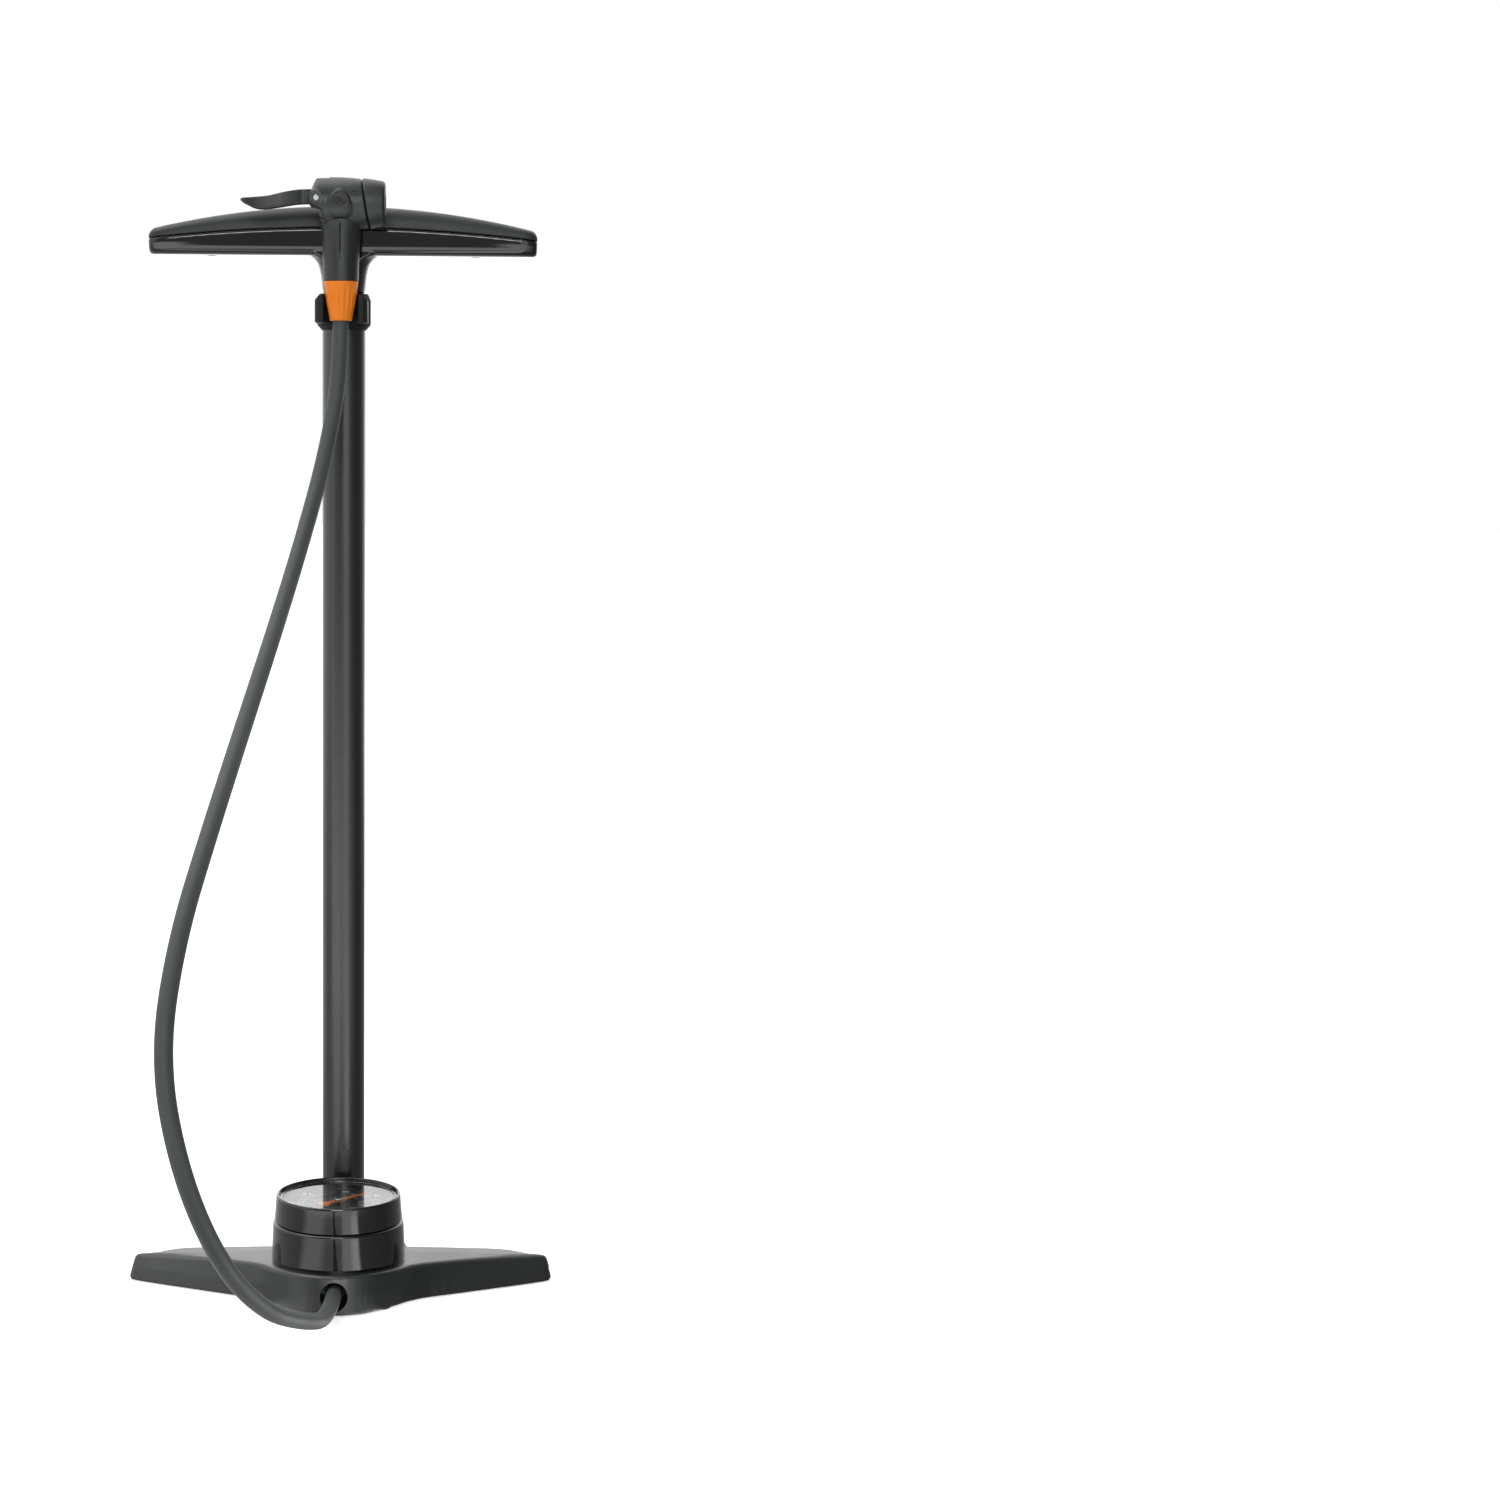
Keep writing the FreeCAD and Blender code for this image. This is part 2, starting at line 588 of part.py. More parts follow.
def barrel_cap():
    """Screwed top cap with grip ribs and the open jaw that parks the valve head."""
    r = CAP_OD / 2
    low = BARREL_TOP - CAP_SKIRT
    profile = [
        (BARREL_R + SEAT, low), (r - 3.0, low), (r, low + 3.5), (r, CAP_TOP - 3.5), (r - 1.6, CAP_TOP),
        (ROD_OD / 2 + 1.5, CAP_TOP), (ROD_OD / 2 + 1.5, BARREL_TOP), (BARREL_R + SEAT, BARREL_TOP),
    ]
    cap = lathe(profile)
    outer = r - 0.6
    inner = collar_radius(CAP_TOP - 1.5) + FREE / 2
    jaw = block(-outer, outer, HEAD_Y - 3.0, -8, low + 3.5, CAP_TOP - 1.5)
    jaw = jaw.cut(block(-inner, inner, HEAD_Y - 10, HEAD_Y, low, CAP_TOP + 1))
    jaw = jaw.cut(rod(inner, low, CAP_TOP + 1, 0, HEAD_Y))
    jaw = jaw.cut(rod(BARREL_R + 1.0, low, BARREL_TOP + 1))
    round_front = rod(r + 6.0, low, CAP_TOP, 0, HEAD_Y + 14.0)
    jaw = jaw.common(round_front)
    keep_out = rod(ROD_OD / 2 + 1.5, 0, CAP_TOP + 1)
    cap = joined([cap, jaw]).cut(keep_out)
    ribs = 40
    for index in range(ribs):
        angle = 360.0 * index / ribs
        if abs((angle + 90 + 180) % 360 - 180) < 62:
            continue
        groove = rod(0.5, low + 4.5, CAP_TOP - 4.5, r + 0.15, 0)
        groove.rotate(Vector(0, 0, 0), Vector(0, 0, 1), angle)
        cap = cap.cut(groove)
    return cap


def rod_bush():
    """Guide bush in the barrel's mouth."""
    rim = tube(BORE_R - SEAT, ROD_OD / 2 + RUNNING, BUSH_BOTTOM, BARREL_TOP)
    pocket = rod(ROD_OD / 2 + 2.0, BARREL_TOP - 3.0, BARREL_TOP + 1)
    return rim.cut(pocket)


def rod_wiper():
    return tube(ROD_OD / 2 + 2.0 - SEAT, ROD_OD / 2 + RUNNING, BARREL_TOP - 3.0 + SEAT, BARREL_TOP)


def piston_rod():
    low = PISTON_BOTTOM + 4
    return tube(ROD_OD / 2, ROD_OD / 2 - ROD_WALL, low, HANDLE_Z + 14)


def rod_buffer():
    return tube(ROD_OD / 2 + 3.5, ROD_OD / 2 + SEAT, PISTON_TOP, BUFFER_TOP)


def piston_body():
    r = BORE_R - RUNNING
    profile = [
        (ROD_OD / 2 + SEAT, PISTON_TOP), (r, PISTON_TOP), (r, PISTON_TOP - 5), (r - 2, PISTON_TOP - 6),
        (r - 2, PISTON_BOTTOM + 6), (r, PISTON_BOTTOM + 5), (r, PISTON_BOTTOM),
        (2.5, PISTON_BOTTOM), (2.5, PISTON_BOTTOM + 4), (ROD_OD / 2 + SEAT, PISTON_BOTTOM + 4),
    ]
    return lathe(profile)


def piston_seal():
    """Cup seal under the piston, its lip turned down."""
    r = BORE_R - 0.02
    top = PISTON_BOTTOM
    profile = [
        (2.5, top), (r - 0.6, top), (r, top - 1), (r, top - 5), (r - 0.9, top - 5),
        (r - 1.6, top - 1.8), (2.5, top - 1.8),
    ]
    return lathe(profile)


def piston_washer():
    return tube(BORE_R - 3.5, 2.5, PISTON_BOTTOM - 3.3, PISTON_BOTTOM - 1.8)


def piston_screw():
    """Screw up into the rod's end."""
    low = PISTON_BOTTOM - 3.3
    head = rod(4.2, low - 2.6, low)
    shank = rod(2.5 - SEAT, low, PISTON_BOTTOM + 4)
    plug = rod(ROD_OD / 2 - ROD_WALL - SEAT, PISTON_BOTTOM + 4, PISTON_BOTTOM + 12)
    socket = Part.Face(Part.makePolygon([
        Vector(1.6 * math.cos(math.radians(60 * i)), 1.6 * math.sin(math.radians(60 * i)), low - 3)
        for i in range(7)
    ])).extrude(Vector(0, 0, 2))
    return joined([head, shank, plug]).cut(socket)


# ---------------------------------------------------------------- handle
def crown(x):
    """Height of the handle's top surface at x."""
    reach = HANDLE_WIDTH / 2
    return HANDLE_TOP - HANDLE_DROP * (x / (reach - 4)) ** 2


def parting(x):
    """Height of the joint between grip and lower body at x."""
    reach = HANDLE_WIDTH / 2
    return HANDLE_Z + 16.5 - 7.0 * (x / reach) ** 2


def end_share(x):
    """How full the section is at x: 1 along the handle, rounding off over the last stretch."""
    reach = HANDLE_WIDTH / 2
    length = 11.0
    past = max(0.0, abs(x) - (reach - length)) / length
    return math.sqrt(max(0.0, 1 - 0.86 * past ** 2.4))


def handle_stations(inset):
    reach = HANDLE_WIDTH / 2 - inset
    shares = [-1, -0.985, -0.95, -0.9, -0.6, -0.3, 0, 0.3, 0.6, 0.9, 0.95, 0.985, 1]
    return [reach * share for share in shares]


def grip_section(x, inset):
    """Upper section: upright sides that turn over into a low crown; the hollow runs out at the bottom."""
    low = parting(x) + SEAT - inset
    full = end_share(x)
    half = HANDLE_DEPTH / 2 * full - inset
    high = parting(x) + (crown(x) - parting(x)) * (0.65 + 0.35 * full) - inset
    rise = high - low
    side = Vector(x, -half, low + 0.35 * rise)
    turn = Vector(x, -half * 0.93, low + 0.66 * rise)
    brow = Vector(x, -half * 0.74, low + 0.86 * rise)
    other_side, other_turn, other_brow = (Vector(x, -p.y, p.z) for p in (side, turn, brow))
    foot, other_foot = Vector(x, -half + 0.2, low), Vector(x, half - 0.2, low)
    return Part.Wire([
        line(foot, side),
        arc(side, turn, brow),
        arc(brow, Vector(x, 0, high), other_brow),
        arc(other_brow, other_turn, other_side),
        line(other_side, other_foot),
        line(other_foot, foot),
    ])


def lower_section(x, inset):
    """Lower section: sides that fall to a flat, round-cornered underside; the hollow runs out at the top."""
    top = parting(x) + (inset if inset else 0)
    full = end_share(x)
    half = (HANDLE_DEPTH / 2 - 0.8) * full - inset
    bottom = HANDLE_Z + inset + (1 - full) * 5.0
    corner = min(5.0, (top - bottom) * 0.6)
    front = [Vector(x, -half, top), Vector(x, -half + 0.8, bottom + corner)]
    back = [Vector(x, half, top), Vector(x, half - 0.8, bottom + corner)]
    left_foot = Vector(x, -half + 0.8 + corner, bottom)
    right_foot = Vector(x, half - 0.8 - corner, bottom)
    bend = corner * (1 - math.sqrt(0.5))
    left_bend = Vector(x, -half + 0.8 + bend, bottom + bend)
    right_bend = Vector(x, half - 0.8 - bend, bottom + bend)
    return Part.Wire([
        line(front[0], front[1]),
        arc(front[1], left_bend, left_foot),
        line(left_foot, right_foot),
        arc(right_foot, right_bend, back[1]),
        line(back[1], back[0]),
        line(back[0], front[0]),
    ])


def handle_loft(section, inset):
    return Part.makeLoft([section(x, inset) for x in handle_stations(inset)], True, False)


def handle_column():
    """Round column under the handle, flaring into its underside."""
    r = COLUMN_OD / 2
    profile = [
        Vector(0, 0, CAP_TOP + FREE), Vector(r - 0.4, 0, CAP_TOP + FREE), Vector(r + 0.9, 0, CAP_TOP + 10),
        Vector(r + 2.4, 0, HANDLE_Z - 6.5),
    ]
    flare_end = Vector(r + 7.0, 0, HANDLE_Z)
    flare = arc(profile[-1], Vector(r + 3.7, 0, HANDLE_Z - 2.2), flare_end)
    edges = [line(start, end) for start, end in zip(profile, profile[1:])] + [flare]
    top, inside = Vector(r + 7.0, 0, HANDLE_Z + 4), Vector(0, 0, HANDLE_Z + 4)
    edges += [line(flare_end, top), line(top, inside), line(inside, profile[0])]
    solid = Part.Face(Part.Wire(edges)).revolve(Vector(0, 0, 0), Vector(0, 0, 1), 360)
    depth = HANDLE_DEPTH / 2 - 1.6
    return solid.common(block(-60, 60, -depth, depth, CAP_TOP, HANDLE_Z + 4))


def handle_body():
    outer = handle_loft(lower_section, 0)
    hollow = handle_loft(lower_section, HANDLE_WALL)
    socket = rod(ROD_OD / 2 + 3.0, HANDLE_Z, HANDLE_Z + 14)
    places = (-HANDLE_SCREW_X, HANDLE_SCREW_X)
    bosses = [rod(4.0, HANDLE_Z + 1, parting(x) - 0.05, x, 0) for x in places]
    half = HANDLE_DEPTH / 2 - 2
    ribs = [block(x - 1, x + 1, -half, half, HANDLE_Z + 1, HANDLE_Z + 9) for x in (-45, 45)]
    shell = outer.cut(hollow)
    body = joined([shell, handle_column(), socket] + bosses + ribs)
    cuts = [rod(ROD_OD / 2 + SEAT, 0, HANDLE_Z + 14 + 1)]
    for x in places:
        cuts.append(rod(3.2, HANDLE_Z - 1, HANDLE_Z + 4, x, 0))
        cuts.append(rod(1.6, HANDLE_Z, HANDLE_Z + 30, x, 0))
    for cut in cuts:
        body = body.cut(cut)
    return body


def handle_grip():
    outer = handle_loft(grip_section, 0)
    hollow = handle_loft(grip_section, HANDLE_WALL)
    hollow = hollow.cut(rod(BADGE_OD / 2 - 3, HANDLE_TOP - 9, HANDLE_TOP + 5))
    shell = outer.cut(hollow)
    posts = []
    for x in (-HANDLE_SCREW_X, HANDLE_SCREW_X):
        post = rod(4.0, parting(x) + 0.05, crown(x) - 1.5, x, 0)
        posts.append(post)
    grip = joined([shell] + posts)
    for x in (-HANDLE_SCREW_X, HANDLE_SCREW_X):
        grip = grip.cut(rod(1.5, HANDLE_Z, crown(x) - 4, x, 0))
    seat = rod(BADGE_OD / 2 + SEAT, HANDLE_TOP - 2.2, HANDLE_TOP + 5)
    bolt_way = rod(6.0, HANDLE_Z, HANDLE_TOP - 4.5)
    return grip.cut(seat).cut(bolt_way)


def handle_screws():
    screws = []
    for x in (-HANDLE_SCREW_X, HANDLE_SCREW_X):
        head = rod(3.0, HANDLE_Z + 1.6, HANDLE_Z + 4 - SEAT, x, 0)
        shank = rod(1.5 - SEAT, HANDLE_Z + 3, crown(x) - 4.5, x, 0)
        cross_a = block(x - 1.6, x + 1.6, -0.35, 0.35, HANDLE_Z, HANDLE_Z + 2.8)
        cross_b = block(x - 0.35, x + 0.35, -1.6, 1.6, HANDLE_Z, HANDLE_Z + 2.8)
        screws.append(head.fuse(shank).cut(cross_a).cut(cross_b))
    return group(screws)


def badge_ring():
    """Raised rim on the middle of the grip."""
    r = BADGE_OD / 2
    low = HANDLE_TOP - 2.2 + SEAT
    profile = [
        (r, low), (r, HANDLE_TOP + 1.4), (r - 0.9, HANDLE_TOP + 2.2), (r - 1.9, HANDLE_TOP + 2.0),
        (r - 2.9, HANDLE_TOP + 0.9), (r - 2.9, low),
    ]
    return lathe(profile)


def badge_disc():
    r = BADGE_OD / 2 - 2.9 - SEAT
    low = HANDLE_TOP - 2.2 + SEAT
    return lathe([(0, low), (r, low), (r, HANDLE_TOP + 0.5), (0, HANDLE_TOP + 0.9)])


def rod_bolt():
    """Bolt that clamps the handle to the rod's plugged end."""
    low = HANDLE_Z + 14
    head = rod(5.5, low + SEAT, low + 4.5)
    shank = rod(ROD_OD / 2 - ROD_WALL - SEAT, low - 18, low + SEAT)
    flange = rod(8.5, low + SEAT, low + 1.2)
    return joined([head, flange, shank])


# ---------------------------------------------------------------- valve head
def collar_radius(z):
    share = (z - COLLAR_BOTTOM) / COLLAR_LENGTH
    return COLLAR_BOTTOM_OD / 2 + (NECK_BOTTOM_OD / 2 - 0.2 - COLLAR_BOTTOM_OD / 2) * share


def hose_collar():
    """Fluted orange sleeve that clamps the hose into the neck."""
    low, high = COLLAR_BOTTOM, NECK_BOTTOM
    inner = HOSE_OD / 2 + 0.1
    profile = [
        (inner, low), (collar_radius(low) - 0.6, low), (collar_radius(low), low + 0.8),
        (collar_radius(high - 1), high - 1), (collar_radius(high - 1), high), (inner, high),
    ]
    return lathe(profile, 0, HEAD_Y)


def head_barb():
    """Spigot that the hose is pushed onto, standing in the neck."""
    stem = tube(4.6, 1.5, NECK_BOTTOM - 4, NECK_BOTTOM + 16, 0, HEAD_Y)
    flange = tube(7.0, 1.5, NECK_BOTTOM + 4, NECK_BOTTOM + 6, 0, HEAD_Y)
    return stem.fuse(flange)


def pivot_line(radius, start, end):
    """Cylinder along the lever's pivot, between two distances from the head's middle plane."""
    near, far = Vector(PIVOT_X, HEAD_Y + start, PIVOT_Z), Vector(PIVOT_X, HEAD_Y + end, PIVOT_Z)
    return rod_along(radius, near, far)


def head_shell():
    """Outer form of the head body: a level drum with a rounded left end."""
    r = HEAD_OD / 2
    profile = [
        (HEAD_LEFT, 0), (HEAD_LEFT, r - 5.5), (HEAD_LEFT + 1.0, r - 3.0), (HEAD_LEFT + 3.4, r - 0.7),
        (HEAD_LEFT + 6.0, r), (HEAD_PARTING, r), (HEAD_PARTING, 0),
    ]
    drum = lathe_x(profile, HEAD_Y, HEAD_Z)
    boss = pivot_line(4.2, -14.6, 13.5)
    saddle = Part.makeCone(NECK_TOP_OD / 2 - 0.4, NECK_TOP_OD / 2 + 1.0, 12, Vector(0, HEAD_Y, HEAD_Z - 19.0))
    return joined([drum, boss, saddle])


def head_body():
    body = head_shell()
    half = LEVER_ROOT / 2 + FREE
    lobe = CAM_R + CAM_LIFT + FREE
    slot = block(HEAD_LEFT - 2, PIVOT_X + lobe, HEAD_Y - half, HEAD_Y + half, PIVOT_Z - 7.6, HEAD_Z + HEAD_OD)
    chamber = Vector(PLUNGER_BACK - 0.5, HEAD_Y, HEAD_Z)
    seal_back = Vector(SEAL_BACK, HEAD_Y, HEAD_Z)
    bore = rod_along(PLUNGER_OD / 2 + RUNNING, chamber, seal_back)
    seat = rod_along(SEAL_OD / 2 + SEAT, seal_back, Vector(HEAD_PARTING + 1, HEAD_Y, HEAD_Z))
    pin = pivot_line(PIN_D / 2 + SEAT, -20, 20)
    air = rod(1.5, NECK_BOTTOM, HEAD_Z, 6.5, HEAD_Y)
    front = HEAD_Y - HEAD_OD / 2
    badge_back = Vector(BADGE_X, front + 0.8, BADGE_Z)
    badge = rod_along(BADGE_R + SEAT, Vector(BADGE_X, front - 5, BADGE_Z), badge_back)
    for cut in (slot, bore, seat, pin, air, badge):
        body = body.cut(cut)
    return body


def head_neck():
    """Tapered neck below the drum, hollow round the hose spigot."""
    top = HEAD_Z - 7.4
    foot = Vector(0, HEAD_Y, NECK_BOTTOM)
    cone = Part.makeCone(NECK_BOTTOM_OD / 2, NECK_TOP_OD / 2, top - NECK_BOTTOM, foot)
    hollow = rod(7.0 + SEAT, NECK_BOTTOM, NECK_BOTTOM + 6 + SEAT, 0, HEAD_Y)
    throat = rod(4.6 + SEAT, NECK_BOTTOM, NECK_BOTTOM + 16 + SEAT, 0, HEAD_Y)
    slit_back = HEAD_Y - NECK_BOTTOM_OD / 2 - 0.3
    slit = block(-0.5, 0.5, slit_back - 10, slit_back, HEAD_Z - 27, HEAD_Z - 20)
    return cone.cut(head_shell()).cut(hollow).cut(throat).cut(slit)


def head_cap():
    """End cap that traps the rubber seal, with the valve mouth."""
    r = HEAD_OD / 2
    start, end = HEAD_PARTING, HEAD_RIGHT
    inner_start = SEAL_BACK + SEAL_THICK
    profile = [
        (inner_start, MOUTH_R), (inner_start, SEAL_OD / 2), (start, SEAL_OD / 2), (start, r - 0.1),
        (end - 1.0, r - HEAD_TAPER), (end, r - HEAD_TAPER - 1.0), (end, MOUTH_R + 1.2), (end - 1.2, MOUTH_R),
    ]
    return lathe_x(profile, HEAD_Y, HEAD_Z)


def valve_seal():
    x0, x1 = SEAL_BACK, SEAL_BACK + SEAL_THICK
    r = SEAL_OD / 2
    profile = [(x0, 2.6), (x0, r), (x1, r), (x1, 4.0), (x1 - 1.5, 2.6)]
    return lathe_x(profile, HEAD_Y, HEAD_Z)


def head_plunger():
    """Piston that the lever's cam pushes at the seal."""
    x0 = PLUNGER_BACK
    x1 = SEAL_BACK - CAM_LIFT - FREE
    r = PLUNGER_OD / 2
    middle = (x0 + x1) / 2
    profile = [
        (x0, 0), (x0, r), (middle - 1.0, r), (middle - 1.0, r - 1.4),
        (middle + 1.0, r - 1.4), (middle + 1.0, r),
        (x1, r), (x1, 2.0), (x1 - 2, 2.0), (x1 - 2, 0),
    ]
    return lathe_x(profile, HEAD_Y, HEAD_Z)


def plunger_o_ring():
    middle = (PLUNGER_BACK + SEAL_BACK - CAM_LIFT - FREE) / 2
    return Part.makeTorus(PLUNGER_OD / 2 - 0.72, 0.68, Vector(middle, HEAD_Y, HEAD_Z), Vector(1, 0, 0))


def cam_point(angle, rise):
    """Point of the cam whose flat follower moves evenly with the lever: an involute."""
    h = CAM_R + rise * angle
    x = h * math.cos(angle) - rise * math.sin(angle)
    z = h * math.sin(angle) + rise * math.cos(angle)
    return Vector(PIVOT_X + x, HEAD_Y, PIVOT_Z + z)


def lever():
    """Thumb lever: cam hub on the pivot pin, S-curved arm and a slotted finger loop."""
    rise = CAM_LIFT / (math.pi / 2)
    top = [
        (0.0, 5.9), (-8.0, 5.5), (-14.0, 4.7), (-22.0, 2.9), (-29.0, 1.2), (-37.0, 0.5), (-45.0, 0.4),
    ]
    under = [
        (-45.7, -0.6), (-42.0, -3.3), (-37.0, -5.4), (-28.0, -5.8), (-18.0, -4.4), (-9.0, -3.3), (-2.0, -2.9),
    ]
    upper = [Vector(PIVOT_X + x, HEAD_Y, PIVOT_Z + z) for x, z in top]
    lower = [Vector(PIVOT_X + x, HEAD_Y, PIVOT_Z + z) for x, z in under]
    outline = Part.Wire([spline(upper), line(upper[-1], lower[0]), spline(lower), line(lower[-1], upper[0])])
    arm = Part.Face(outline).extrude(Vector(0, 2 * LEVER_LOOP, 0))
    arm.translate(Vector(0, -LEVER_LOOP, 0))
    arm = arm.common(lever_plan())
    start, stop, count = 0.0, math.pi / 2, 10
    curve = [cam_point(start + (stop - start) * i / count, rise) for i in range(count + 1)]
    first, last = curve[0], curve[-1]
    around = Vector(PIVOT_X - CAM_R * 0.75, HEAD_Y, PIVOT_Z - CAM_R * 0.75)
    side = Vector(PIVOT_X - CAM_R, HEAD_Y, PIVOT_Z + 2.0)
    low = Vector(PIVOT_X + CAM_R - 0.6, HEAD_Y, PIVOT_Z - 2.4)
    cam_wire = Part.Wire([
        spline(curve),
        line(last, side),
        arc(side, around, low),
        line(low, first),
    ])
    half = LEVER_ROOT / 2 - 0.5
    cam = Part.Face(cam_wire).extrude(Vector(0, 2 * half, 0))
    cam.translate(Vector(0, -half, 0))
    return joined([arm, cam]).cut(pivot_line(PIN_D / 2 + RUNNING, -20, 20))


def lever_plan():
    """Lever seen from above, with its finger slot, as an upright prism."""
    root, loop = LEVER_ROOT / 2, LEVER_LOOP / 2
    side = [
        Vector(PIVOT_X, HEAD_Y + root, 0), Vector(PIVOT_X - 9, HEAD_Y + root, 0),
        Vector(PIVOT_X - 24, HEAD_Y + loop - 0.6, 0), Vector(PIVOT_X - 35, HEAD_Y + loop, 0),
        Vector(PIVOT_X - 43, HEAD_Y + loop - 3.6, 0),
    ]
    other = [Vector(p.x, 2 * HEAD_Y - p.y, 0) for p in side]
    tip = arc(side[-1], Vector(PIVOT_X - 46.0, HEAD_Y, 0), other[-1])
    outline = Part.Wire([spline(side), tip, spline(other[::-1]), line(other[0], side[0])])
    prism = Part.Face(outline).extrude(Vector(0, 0, 60))
    prism.translate(Vector(0, 0, PIVOT_Z - 30))
    half = 4.0
    slot = block(PIVOT_X - 34.5, PIVOT_X - 15.5, HEAD_Y - half, HEAD_Y + half, PIVOT_Z - 31, PIVOT_Z + 31)
    slot = slot.fuse(rod(half, PIVOT_Z - 31, PIVOT_Z + 31, PIVOT_X - 34.5, HEAD_Y))
    slot = slot.fuse(rod(half, PIVOT_Z - 31, PIVOT_Z + 31, PIVOT_X - 15.5, HEAD_Y))
    return prism.cut(slot)


def lever_pin():
    return pivot_line(PIN_D / 2, -14.9, 13.4)


def head_badge():
    front = HEAD_Y - HEAD_OD / 2
    return rod_along(BADGE_R, Vector(BADGE_X, front - 0.2, BADGE_Z), Vector(BADGE_X, front + 0.8, BADGE_Z))


# ---------------------------------------------------------------- hose
# The route starts at the ferrule in the base and ends on the spigot in the head's neck.
HOSE_ROUTE = [
    (0, FERRULE_FRONT, PORT_Z),
    (0, -153, PORT_Z),
    (-9, -226, 34),
    (-24, -302, 63),
    (-40, -364, 108),
    (-57, -396, 162),
    (-68, -394, 218),
    (-63, -360, 270),
    (-52, -303, 317),
    (-41, -230, 364),
    (-30, -158, 410),
    (-19, -97, 457),
    (-8, -54, 506),
    (0, HEAD_Y, 557),
    (0, HEAD_Y, NECK_BOTTOM - 4),
]


def hose_path():
    """Straight runs joined by tangent arcs as large as the runs allow, and the arc radii."""
    points = [Vector(*p) for p in HOSE_ROUTE]
    edges, radii = [], []
    at = points[0]
    for before, corner, after in zip(points, points[1:], points[2:]):
        into = (corner - before).normalize()
        out = (after - corner).normalize()
        turn = into.getAngle(out)
        reach = 0.45 * min((corner - before).Length, (after - corner).Length)
        radius = reach / math.tan(turn / 2) if turn > 1e-4 else 1e9
        if turn < 1e-4:
            continue
        radii.append(radius)
        start = corner - into * reach
        end = corner + out * reach
        inward = (out - into).normalize()
        middle = corner + inward * (radius / math.cos(turn / 2) - radius)
        edges.append(line(at, start))
        edges.append(arc(start, middle, end))
        at = end
    edges.append(line(at, points[-1]))
    return Part.Wire(edges), radii


def hose():
    path, radii = hose_path()
    first = Vector(*HOSE_ROUTE[0])
    along = (Vector(*HOSE_ROUTE[1]) - first).normalize()
    ring = Part.Wire(Part.Circle(first, along, HOSE_OD / 2).toShape())
    solid = path.makePipeShell([ring], True, True)
    section = math.pi * (HOSE_OD / 2) ** 2
    share = solid.Volume / (section * path.Length)
    print("hose length", round(path.Length, 1), "volume share", round(share, 4))
    print("hose radii", [round(radius) for radius in radii])
    return solid


MAKERS = [
    base_body, foot_pads, manifold_block, manifold_screws, barrel_o_ring, check_valve_seat,
    check_valve_poppet, check_valve_spring, hose_ferrule, gauge_housing, gauge_bezel, gauge_lens, dial_plate,
    dial_screws, movement_frame, sector_gear, pointer_arbor, pointer, pointer_hub, bourdon_tube, gauge_socket,
    barrel_tube, barrel_cap, rod_bush, rod_wiper, piston_rod, rod_buffer, piston_body, piston_seal,
    piston_washer, piston_screw, handle_body, handle_grip, handle_screws, badge_ring, badge_disc, rod_bolt,
    hose_collar, head_barb, head_body, head_neck, head_cap, valve_seal, head_plunger, plunger_o_ring,
    lever, lever_pin, head_badge, hose,
]

os.makedirs("parts", exist_ok=True)
for maker in MAKERS:
    shape = maker()
    name = maker.__name__
    solids = len(shape.Solids)
    if solids == 0 or not shape.isValid():
        raise ValueError("%s: %d solids, valid %s" % (name, solids, shape.isValid()))
    shape.exportStep("parts/%s.step" % name)
    print(name, solids, round(shape.Volume))
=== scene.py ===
"""Floor bicycle pump: finished surfaces, dial printing, hose and studio round its fixed frame."""
import math

import bmesh
import bpy
from mathutils import Matrix, Vector


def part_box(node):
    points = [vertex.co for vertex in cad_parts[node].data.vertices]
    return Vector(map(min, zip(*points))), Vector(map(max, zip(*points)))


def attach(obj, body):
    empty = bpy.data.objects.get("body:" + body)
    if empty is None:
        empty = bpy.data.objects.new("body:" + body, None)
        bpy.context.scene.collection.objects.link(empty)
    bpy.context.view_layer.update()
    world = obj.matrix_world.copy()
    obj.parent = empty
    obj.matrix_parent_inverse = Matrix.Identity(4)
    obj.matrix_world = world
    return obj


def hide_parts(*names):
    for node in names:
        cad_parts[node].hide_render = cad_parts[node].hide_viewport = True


bl_info = {
    "name": "Floor Pump", "version": (1, 0, 0), "blender": (4, 5, 0),
    "location": "View3D > Sidebar > Pump",
    "description": "Builds the visible surfaces of a floor bicycle pump on its construction frame",
    "category": "Add Mesh",
}

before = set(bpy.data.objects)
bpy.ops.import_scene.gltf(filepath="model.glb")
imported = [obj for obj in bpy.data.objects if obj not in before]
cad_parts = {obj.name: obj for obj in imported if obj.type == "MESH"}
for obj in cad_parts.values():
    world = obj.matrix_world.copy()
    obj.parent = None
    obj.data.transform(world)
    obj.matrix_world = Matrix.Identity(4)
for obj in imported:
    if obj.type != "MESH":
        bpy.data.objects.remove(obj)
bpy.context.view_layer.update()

MM = 0.001
ORIGIN = Vector((0, 0, 0))


# ------------------------------------------------------------------ places read from the frame
def middle(node):
    """Centre of a node's box."""
    low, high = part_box(node)
    return (low + high) / 2


def round_size(node):
    """Radius, lowest and highest level of an upright round node, in mm."""
    low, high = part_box(node)
    return (high.x - low.x) / 2 / MM, low.z / MM, high.z / MM


BARREL_R, BARREL_FOOT, BARREL_TOP = round_size("barrel_tube")
HOUSING_R, HOUSING_FOOT, HOUSING_TOP = round_size("gauge_housing")
GAUGE = Vector((0, middle("gauge_bezel").y, 0))
DIAL_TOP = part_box("dial_plate")[1].z
INK_TOP = DIAL_TOP + 0.06 * MM
